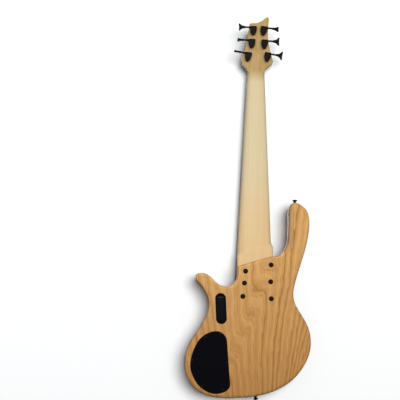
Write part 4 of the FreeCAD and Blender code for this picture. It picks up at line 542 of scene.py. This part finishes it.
def settle(host, tree, values, body):
    """Run a tree on its host mesh, keep the result as a plain mesh and set it on a body."""
    modifier = host.modifiers.new("Shape", "NODES")
    modifier.node_group = tree
    for identifier, value in values.items():
        modifier[identifier] = value
    bpy.context.view_layer.update()
    shown = host.evaluated_get(bpy.context.evaluated_depsgraph_get())
    mesh = bpy.data.meshes.new_from_object(shown)
    mesh.name = host.name
    host.modifiers.remove(modifier)
    host.data = mesh
    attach(host, body)
    return host


def repeat_on_points(name, prototype, places, facings, material, body):
    """Copies of a small mesh, its Z turned to each facing, as one piece on a body."""
    tree, identifiers = node_tree(name, (("Shape", "NodeSocketObject"), ("Finish", "NodeSocketMaterial")))
    given = add(tree, "NodeGroupInput")
    facing = add(tree, "GeometryNodeInputNamedAttribute", {"Name": "facing"}, data_type="FLOAT_VECTOR")
    turn = add(tree, "FunctionNodeAlignRotationToVector", {"Vector": facing.outputs["Attribute"]}, axis="Z")
    source = add(tree, "GeometryNodeObjectInfo", {"Object": given.outputs["Shape"]})
    copies = add(tree, "GeometryNodeInstanceOnPoints", {
        "Points": given.outputs["Geometry"], "Instance": source.outputs["Geometry"],
        "Rotation": turn.outputs["Rotation"]})
    paint(tree, copies.outputs["Instances"], given)
    mesh = bpy.data.meshes.new(name)
    mesh.from_pydata([tuple(place) for place in places], [], [])
    attribute = mesh.attributes.new("facing", "FLOAT_VECTOR", "POINT")
    for item, direction in zip(attribute.data, facings):
        item.vector = direction
    host = mesh_object(name, mesh)
    shape = mesh_object(name + "_shape", prototype)
    settle(host, tree, {identifiers["Shape"]: shape, identifiers["Finish"]: material}, body)
    bpy.data.objects.remove(shape)


def neighbours(ring):
    """Vertices of a ring two by two, back to the first."""
    return list(zip(ring, ring[1:] + ring[:1]))


def wall(work, low, high):
    """Faces between two rings of vertices."""
    for (start, end), (over_start, over_end) in zip(neighbours(low), neighbours(high)):
        work.faces.new((start, end, over_end, over_start))


def cross_head(radius, dome, recess):
    """Round screw head with a cross recess, facing +Z from its base at Z = 0."""
    steps = 24
    profile = ((1.0, 0.0), (0.94, 0.55), (0.72, 0.88))
    slot = recess * 0.24
    taper = 0.6
    depth = recess * 0.7
    work = bmesh.new()
    rings = []
    for share, rise in profile:
        ring = []
        for step in range(steps):
            angle = 2 * math.pi * step / steps
            reach = radius * share
            ring.append(work.verts.new((reach * math.cos(angle), reach * math.sin(angle), dome * rise)))
        rings.append(ring)
    for low, high in zip(rings, rings[1:]):
        wall(work, low, high)
    outline = [
        (recess, -slot), (recess, slot), (slot, slot), (slot, recess), (-slot, recess), (-slot, slot),
        (-recess, slot), (-recess, -slot), (-slot, -slot), (-slot, -recess), (slot, -recess), (slot, -slot)]
    rim = [work.verts.new((x, y, dome)) for x, y in outline]
    sole = [work.verts.new((x * taper, y * taper, dome - depth)) for x, y in outline]
    edges = [work.edges.new(pair) for pair in neighbours(rim)]
    edges += [work.edges.get(pair) for pair in neighbours(rings[-1])]
    bmesh.ops.triangle_fill(work, edges=edges, use_beauty=True)
    wall(work, rim, sole)
    work.faces.new(sole)
    bmesh.ops.recalc_face_normals(work, faces=work.faces)
    return mesh_from("cross_head", work)


def island_boxes(node):
    """Lowest and highest corner of each separate solid of a CAD node."""
    work = bmesh.new()
    work.from_mesh(NODES[node].data)
    bmesh.ops.remove_doubles(work, verts=work.verts, dist=0.01 * MM)
    found = set()
    boxes = []
    for first in work.verts:
        if first in found:
            continue
        found.add(first)
        queue = [first]
        points = []
        while queue:
            vert = queue.pop()
            points.append(vert.co)
            for edge in vert.link_edges:
                other = edge.other_vert(vert)
                if other not in found:
                    found.add(other)
                    queue.append(other)
        low = Vector([min(point[axis] for point in points) for axis in range(3)])
        high = Vector([max(point[axis] for point in points) for axis in range(3)])
        boxes.append((low, high))
    work.free()
    return boxes


def head_screws(node, side, sink, radius, dome, recess, material):
    """Heads on a CAD node's screws, at the back (side 1) or the front (side -1), sized in millimetres."""
    tops = []
    for low, high in island_boxes(node):
        end = high.y if side > 0 else low.y
        tops.append(Vector(((low.x + high.x) / 2, end - side * sink * MM, (low.z + high.z) / 2)))
    heads = cross_head(radius * MM, dome * MM, recess * MM)
    facings = [Vector((0, side, 0))] * len(tops)
    repeat_on_points(node[:-1] + "_heads", heads, tops, facings, material, "bass")


class BASS_OT_body(bpy.types.Operator):
    """Finish the ash body"""
    bl_idname = "bass.body"
    bl_label = "Body"

    def execute(self, context):
        dress(["body"], finish(oiled_ash))
        return {"FINISHED"}


class BASS_OT_neck(bpy.types.Operator):
    """Finish the maple neck and its truss rod fittings"""
    bl_idname = "bass.neck"
    bl_label = "Neck"

    def execute(self, context):
        dress(["neck"], finish(satin_maple))
        dress(["truss_rod"], finish(zinc_steel))
        dress(["truss_rod_cover"], finish(satin_plastic))
        dress(["truss_rod_cover_screws"], finish(black_plating))
        return {"FINISHED"}


class BASS_OT_fretboard(bpy.types.Operator):
    """Finish the fretboard, frets, dots and nut, and set the side dots"""
    bl_idname = "bass.fretboard"
    bl_label = "Fretboard"

    def execute(self, context):
        dress(["fretboard"], finish(oiled_rosewood))
        dress(["frets"], finish(nickel_silver))
        dress(["position_dots"], finish(pearl))
        dress(["nut"], finish(polished_bone))
        self.side_dots()
        return {"FINISHED"}

    def side_dots(self):
        """Small discs on the bass edge of the fretboard, between the frets."""
        below_top = 3.2 * MM
        low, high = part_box("fretboard")
        nut_low, nut_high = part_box("nut")
        scale = sizes().scale_length
        half_nut = (nut_high.x - nut_low.x) / 2
        half_end = (high.x - low.x) / 2
        lean = (half_end - half_nut) / (high.z - low.z)
        facing = Vector((-1.0, 0.0, -lean)).normalized()
        places = []
        for fret, offsets in SIDE_DOTS.items():
            middle = scale * (2 ** (-fret / 12) + 2 ** (-(fret - 1) / 12)) / 2
            for offset in offsets:
                z = middle + offset * MM
                places.append(Vector((-(half_nut + (scale - z) * lean), high.y - below_top, z)))
        work = bmesh.new()
        bmesh.ops.create_cone(
            work, cap_ends=True, segments=16, radius1=1.0 * MM, radius2=0.92 * MM, depth=0.12 * MM)
        disc = mesh_from("side_dot", work)
        facings = [facing] * len(places)
        repeat_on_points("side_dots", disc, places, facings, finish(pearl), "bass")


class BASS_OT_bolts(bpy.types.Operator):
    """Finish the ferrules and give the neck bolts domed heads with cross recesses"""
    bl_idname = "bass.bolts"
    bl_label = "Neck Bolts"

    def execute(self, context):
        dress(["neck_bolt_ferrules"], finish(black_chrome))
        dress(["neck_bolts"], finish(black_plating))
        head_screws("neck_bolts", side=1, sink=0.05, radius=4.5, dome=0.45, recess=2.2,
                    material=finish(black_chrome))
        return {"FINISHED"}


class BASS_OT_covers(bpy.types.Operator):
    """Finish the covers and the battery box, head the cover's screws and set the lid's thumb bar"""
    bl_idname = "bass.covers"
    bl_label = "Covers"

    def execute(self, context):
        dress(["control_cover", "battery_box"], finish(satin_plastic))
        dress(["battery_lid"], finish(gloss_plastic))
        dress(["control_cover_screws"], finish(black_plating))
        dress(["battery"], finish(battery_jacket))
        head_screws("control_cover_screws", side=1, sink=0.02, radius=2.75, dome=0.25, recess=1.4,
                    material=finish(black_plating))
        self.thumb_bar()
        return {"FINISHED"}

    def thumb_bar(self):
        """Raised bar with rounded edges at the free end of the battery lid."""
        reach = 63.0 * MM
        rise = 1.45 * MM
        hinge = JOINTS["battery_lid_hinge"]
        along = -Vector(hinge["axis"])
        out = Vector((0, 1, 0))
        away = along.cross(out)
        work = block(width=14.0, depth=1.2, height=2.4)
        bmesh.ops.bevel(work, geom=work.edges, offset=0.5 * MM, segments=3, profile=0.5, affect="EDGES")
        turn = Matrix((along, out, away)).transposed().to_4x4()
        centre = Vector(hinge["pos_m"]) + out * rise + away * reach
        bmesh.ops.transform(work, matrix=Matrix.Translation(centre) @ turn, verts=work.verts)
        bar = mesh_from("battery_lid_thumb_bar", work)
        bar.materials.append(finish(satin_black))
        piece = mesh_object("battery_lid_thumb_bar", bar)
        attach(piece, "battery_lid")


class BASS_OT_tuners(bpy.types.Operator):
    """Finish the tuners"""
    bl_idname = "bass.tuners"
    bl_label = "Tuners"

    def execute(self, context):
        names = ["tuner_housings", "tuner_bushings"]
        names += ["tuner_key_%d" % number for number in STRINGS]
        names += ["tuner_post_%d" % number for number in STRINGS]
        dress(names, finish(black_chrome))
        return {"FINISHED"}


class BASS_OT_bridge(bpy.types.Operator):
    """Finish the bridge, its saddles and screws, and head the bridge screws"""
    bl_idname = "bass.bridge"
    bl_label = "Bridge"

    def execute(self, context):
        dress(["bridge_plate", "bridge_screws"], finish(satin_black))
        dress(["saddle_%d" % number for number in STRINGS], finish(satin_black))
        dress(["intonation_screw_%d" % number for number in STRINGS], finish(zinc_steel))
        dress(["string_ball_ends"], finish(plain_brass))
        head_screws("bridge_screws", side=-1, sink=0.02, radius=3.7, dome=0.4, recess=1.9,
                    material=finish(satin_black))
        return {"FINISHED"}


class BASS_OT_pickups(bpy.types.Operator):
    """Finish the pickups and their screws"""
    bl_idname = "bass.pickups"
    bl_label = "Pickups"

    def execute(self, context):
        dress(["neck_pickup", "bridge_pickup"], finish(pickup_cover))
        dress(["pickup_screws"], finish(satin_black))
        return {"FINISHED"}


class BASS_OT_controls(bpy.types.Operator):
    """Finish the controls and jack, and ring each knob with grip ridges"""
    bl_idname = "bass.controls"
    bl_label = "Controls"

    def execute(self, context):
        dress(["knob_%d" % number for number in KNOBS] + ["output_jack"], finish(satin_black))
        dress(["potentiometers", "potentiometer_nuts"], finish(zinc_steel))
        dress(["preamp_board"], finish(solder_mask))
        for number in KNOBS:
            self.grip(number)
        return {"FINISHED"}

    def grip(self, number):
        """Ridges round a knob's skirt."""
        count = 36
        inset = 0.38 * MM
        rise = 8.4 * MM
        low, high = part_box("knob_%d" % number)
        middle = (low + high) / 2
        radius = (high.x - low.x) / 2 - inset
        places = []
        facings = []
        for step in range(count):
            angle = 2 * math.pi * step / count
            outward = Vector((math.cos(angle), 0.0, math.sin(angle)))
            places.append(Vector((middle.x, low.y + rise, middle.z)) + outward * radius)
            facings.append(outward)
        ridge = mesh_from("grip_ridge", block(width=0.8, depth=9.0, height=0.8))
        repeat_on_points("knob_grip_%d" % number, ridge, places, facings, finish(satin_black),
                         "knob_%d" % number)


class BASS_OT_strap_buttons(bpy.types.Operator):
    """Finish the strap buttons"""
    bl_idname = "bass.strap_buttons"
    bl_label = "Strap Buttons"

    def execute(self, context):
        dress(["strap_buttons", "strap_button_screws"], finish(black_plating))
        return {"FINISHED"}


class BASS_OT_strings(bpy.types.Operator):
    """Draw the wound strings from ball end to tuner post"""
    bl_idname = "bass.strings"
    bl_label = "Strings"

    def execute(self, context):
        tree, identifiers = self.tube_tree()
        piece = settle(mesh_object("strings_wound", self.paths()), tree, {
            identifiers["Sides"]: 12, identifiers["Finish"]: finish(wound_steel)}, "bass")
        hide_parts("strings")
        return {"FINISHED"}

    def paths(self):
        """Mesh of the six routes, each point with its string's radius."""
        points = []
        links = []
        radii = []
        for index, gauge in enumerate((sizes().thinnest_string, *THICKER_STRINGS)):
            route = self.route(index, gauge)
            start = len(points)
            points += route
            radii += [gauge / 2] * len(route)
            links += [(start + step, start + step + 1) for step in range(len(route) - 1)]
        mesh = bpy.data.meshes.new("strings_wound")
        mesh.from_pydata([tuple(point) for point in points], links, [])
        attribute = mesh.attributes.new("gauge", "FLOAT", "POINT")
        for item, radius in zip(attribute.data, radii):
            item.value = radius
        return mesh

    def tube_tree(self):
        """Tree that makes round wires of the routes and marks the distance along each."""
        tree, identifiers = node_tree(
            "strings_wound", (("Sides", "NodeSocketInt"), ("Finish", "NodeSocketMaterial")))
        given = add(tree, "NodeGroupInput")
        path = add(tree, "GeometryNodeMeshToCurve", {"Mesh": given.outputs["Geometry"]})
        along = add(tree, "GeometryNodeSplineParameter")
        marked = add(tree, "GeometryNodeStoreNamedAttribute", {
            "Geometry": path.outputs["Curve"], "Name": "along", "Value": along.outputs["Length"]},
            data_type="FLOAT", domain="POINT")
        gauge = add(tree, "GeometryNodeInputNamedAttribute", {"Name": "gauge"}, data_type="FLOAT")
        ring = add(tree, "GeometryNodeCurvePrimitiveCircle", {
            "Resolution": given.outputs["Sides"], "Radius": 1.0})
        tube = add(tree, "GeometryNodeCurveToMesh", {
            "Curve": marked.outputs["Geometry"], "Profile Curve": ring.outputs["Curve"],
            "Scale": gauge.outputs["Attribute"], "Fill Caps": True})
        smooth = add(tree, "GeometryNodeSetShadeSmooth", {"Geometry": tube.outputs["Mesh"]})
        paint(tree, smooth.outputs["Geometry"], given)
        return tree, identifiers

    def route(self, index, gauge):
        """Points of one string, as the solid string runs."""
        shift = (len(STRINGS) - 1) / 2 - index
        side = math.copysign(1, shift)
        nut_x = shift * sizes().nut_spacing
        bridge_x = shift * sizes().bridge_spacing
        saddle_z = FIRST_SADDLE_Z - SADDLE_STAGGER * index
        saddle = Vector((bridge_x, self.crowned(SADDLE_TOP_Y, bridge_x) - gauge / 2, saddle_z))
        nut = Vector((nut_x, self.crowned(NUT_TOP_Y, nut_x) - gauge / 2, sizes().scale_length))
        run = (nut - saddle).normalized()
        bend = saddle + run * ((sizes().scale_length + NUT_EXIT - saddle.z) / run.z)
        ball = Vector((bridge_x, BALL_Y, BALL_Z))
        joint = JOINTS["tuner_post_%d_turn" % (index + 1)]
        back = Vector(joint["axis"])
        up = Vector((1, 0, 0)).cross(back)
        bed = HEAD_THICKNESS + BUSHING_FLANGE + CLEARANCE + POST_FLANGE + CLEARANCE
        waist = Vector(joint["pos_m"]) - back * (bed + gauge / 2)
        radius = POST_WAIST_RADIUS + CLEARANCE + gauge / 2
        flat = Vector((waist.x - bend.x, (waist - bend).dot(up)))
        bearing = math.atan2(flat.y, flat.x) + side * math.asin(radius / flat.length)
        first = bearing + side * math.pi / 2
        landing = self.turn(waist, up, radius, first)
        points = [ball, *self.eased(ball, saddle, bend), *self.eased(saddle, bend, landing)]
        pitch = gauge + WINDING_GAP
        steps = 24
        for step in range(WINDING_TURNS * steps + 1):
            angle = first - side * 2 * math.pi * step / steps
            points.append(self.turn(waist, up, radius, angle) - back * pitch * step / steps)
        points.append(points[-1] + (points[-1] - points[-2]).normalized() * gauge)
        return points

    def crowned(self, top_y, x):
        """Height of a crowned top, off its middle by x."""
        return top_y + CROWN_RADIUS - math.sqrt(CROWN_RADIUS ** 2 - x ** 2)

    def turn(self, centre, up, radius, angle):
        """Point on a post's winding circle."""
        return centre + Vector((1, 0, 0)) * radius * math.cos(angle) + up * radius * math.sin(angle)

    def eased(self, before, corner, after):
        """A corner of the string's route, bent over three points."""
        reach = 1.0 * MM
        back = (before - corner).normalized() * reach
        ahead = (after - corner).normalized() * reach
        return [corner + back, corner + (back + ahead) / 4, corner + ahead]


class BASS_OT_stage(bpy.types.Operator):
    """Set the pale floor, the backdrop, the lamps and the camera"""
    bl_idname = "bass.stage"
    bl_label = "Stage"

    def execute(self, context):
        self.world()
        self.ground()
        self.lamps()
        self.camera()
        context.scene.view_settings.view_transform = "Standard"
        return {"FINISHED"}

    def world(self):
        """White room: weak even light on the bass, but white to the camera and in reflections."""
        room_light = 0.13
        world = bpy.data.worlds.new("White Room")
        bpy.context.scene.world = world
        world.use_nodes = True
        tree = world.node_tree
        tree.nodes.clear()
        ray = add(tree, "ShaderNodeLightPath").outputs
        direct = calc(tree, "MAXIMUM", ray["Is Camera Ray"], ray["Is Transmission Ray"])
        seen = calc(tree, "MAXIMUM", direct, ray["Is Glossy Ray"])
        strength = span(tree, seen, 0.0, 1.0, room_light, 1.0)
        sky = add(tree, "ShaderNodeBackground", {"Color": WHITE, "Strength": strength})
        add(tree, "ShaderNodeOutputWorld", {"Surface": sky.outputs["Background"]})

    def sheet(self, name, corners, material):
        """Flat stage sheet."""
        mesh = bpy.data.meshes.new(name)
        mesh.from_pydata(corners, [], [(0, 1, 2, 3)])
        mesh.materials.append(material)
        sheet = mesh_object(name, mesh)
        return sheet

    def pale(self, name, plain, seen, one_sided):
        """Matt white sheet, whiter to the camera than the light that it gives back to the bass."""
        material = bpy.data.materials.new(name)
        material.use_nodes = True
        tree = material.node_tree
        tree.nodes.clear()
        ray = add(tree, "ShaderNodeLightPath").outputs
        white = blend(tree, ray["Is Camera Ray"], grey(plain), seen)
        lit = add(tree, "ShaderNodeBsdfDiffuse", {"Color": white})
        if one_sided:
            face = add(tree, "ShaderNodeNewGeometry")
            clear = add(tree, "ShaderNodeBsdfTransparent")
            hidden = calc(tree, "MAXIMUM", face.outputs["Backfacing"], ray["Is Shadow Ray"])
            lit = add(tree, "ShaderNodeMixShader", {
                0: hidden, 1: lit.outputs["BSDF"], 2: clear.outputs["BSDF"]})
        add(tree, "ShaderNodeOutputMaterial", {"Surface": lit.outputs[0]})
        return material

    def ground(self):
        """Pale floor well below the bass, and a white backdrop that shows from the back's side only."""
        edge = 6
        level = -0.6
        corners = [(-edge, -edge, level), (edge, -edge, level), (edge, edge, level), (-edge, edge, level)]
        floor = self.pale("Pale Floor", plain=0.85, seen=grey(2.6), one_sided=False)
        self.sheet("floor", corners, floor)
        behind = -0.066
        right = -2.0
        left = 2.4
        bottom = -1.2
        top = 2.2
        corners = [(right, behind, bottom), (right, behind, top), (left, behind, top), (left, behind, bottom)]
        paper = self.pale("White Paper", plain=0.77, seen=(1.53, 1.545, 1.555, 1), one_sided=True)
        self.paper = self.sheet("backdrop", corners, paper)

    def lamp(self, name, kind, place, energy, **settings):
        """Lamp at a place, which lights towards the origin."""
        data = bpy.data.lights.new(name, kind)
        data.energy = energy
        # no second bounce, so that the wood doesn't tint its own shadow
        data.cycles.max_bounces = 0
        for key, value in settings.items():
            setattr(data, key, value)
        lamp = bpy.data.objects.new(name, data)
        bpy.context.scene.collection.objects.link(lamp)
        lamp.location = place
        lamp.rotation_euler = Vector(place).to_track_quat("Z", "Y").to_euler()
        return lamp

    def lamps(self):
        """Broad soft light from the photograph's right, a nearer lamp above, and a lamp for the front."""
        side = self.lamp("side", "SUN", (-0.30, 0.94, 0.13), energy=2.0, angle=math.radians(42.0))
        side.visible_glossy = False
        key = self.lamp("key", "AREA", (0.5, 1.35, 0.80), energy=9.0, size=0.9)
        spared = bpy.data.collections.new("Spared By The Key")
        spared.objects.link(self.paper)
        spared.collection_objects[0].light_linking.link_state = "EXCLUDE"
        key.light_linking.receiver_collection = spared
        self.lamp("front_fill", "AREA", (0.6, -2.4, 1.4), energy=85.0, size=1.6)

    def camera(self):
        """Camera of the photograph: behind the bass, a little below its middle."""
        place = (0.15989, 2.26628, 0.07770)
        pitch = math.radians(10.0)
        roll = 0.0227254
        data = bpy.data.cameras.new("camera")
        data.lens = 72.0
        data.sensor_width = 36.0
        data.clip_end = 50.0
        camera = bpy.data.objects.new("camera", data)
        bpy.context.scene.collection.objects.link(camera)
        right = Vector((-1, 0, 0))
        up = Vector((0, math.sin(pitch), math.cos(pitch)))
        forward = Vector((0, -math.cos(pitch), math.sin(pitch)))
        turned_right = right * math.cos(roll) + up * math.sin(roll)
        turned_up = up * math.cos(roll) - right * math.sin(roll)
        rotation = Matrix((turned_right, turned_up, -forward)).transposed().to_4x4()
        camera.matrix_world = Matrix.Translation(place) @ rotation
        bpy.context.scene.camera = camera


class BASS_PT_panel(bpy.types.Panel):
    """Lists the settings and the pieces of the bass"""
    bl_idname = "BASS_PT_panel"
    bl_label = "Bass Guitar"
    bl_space_type = "VIEW_3D"
    bl_region_type = "UI"
    bl_category = "Bass"

    def draw(self, context):
        for group in (context.scene.bass_sizes, context.scene.bass_colours):
            for name in group.__annotations__:
                self.layout.prop(group, name)
        for operator in OPERATORS:
            self.layout.operator(operator.bl_idname)


OPERATORS = (
    BASS_OT_body, BASS_OT_neck, BASS_OT_fretboard, BASS_OT_bolts, BASS_OT_covers, BASS_OT_tuners,
    BASS_OT_bridge, BASS_OT_pickups, BASS_OT_controls, BASS_OT_strap_buttons, BASS_OT_strings, BASS_OT_stage,
)
CLASSES = (BassSizes, BassColours, *OPERATORS, BASS_PT_panel)


def register():
    """Register the classes and their settings."""
    for item in CLASSES:
        bpy.utils.register_class(item)
    bpy.types.Scene.bass_sizes = bpy.props.PointerProperty(type=BassSizes)
    bpy.types.Scene.bass_colours = bpy.props.PointerProperty(type=BassColours)


def unregister():
    """Remove the settings and the classes."""
    del bpy.types.Scene.bass_colours
    del bpy.types.Scene.bass_sizes
    for item in reversed(CLASSES):
        bpy.utils.unregister_class(item)


def main():
    """Dress the bass and set the stage."""
    register()
    bpy.ops.bass.body()
    bpy.ops.bass.neck()
    bpy.ops.bass.fretboard()
    bpy.ops.bass.bolts()
    bpy.ops.bass.covers()
    bpy.ops.bass.tuners()
    bpy.ops.bass.bridge()
    bpy.ops.bass.pickups()
    bpy.ops.bass.controls()
    bpy.ops.bass.strap_buttons()
    bpy.ops.bass.strings()
    bpy.ops.bass.stage()


if __name__ == "__main__":
    main()
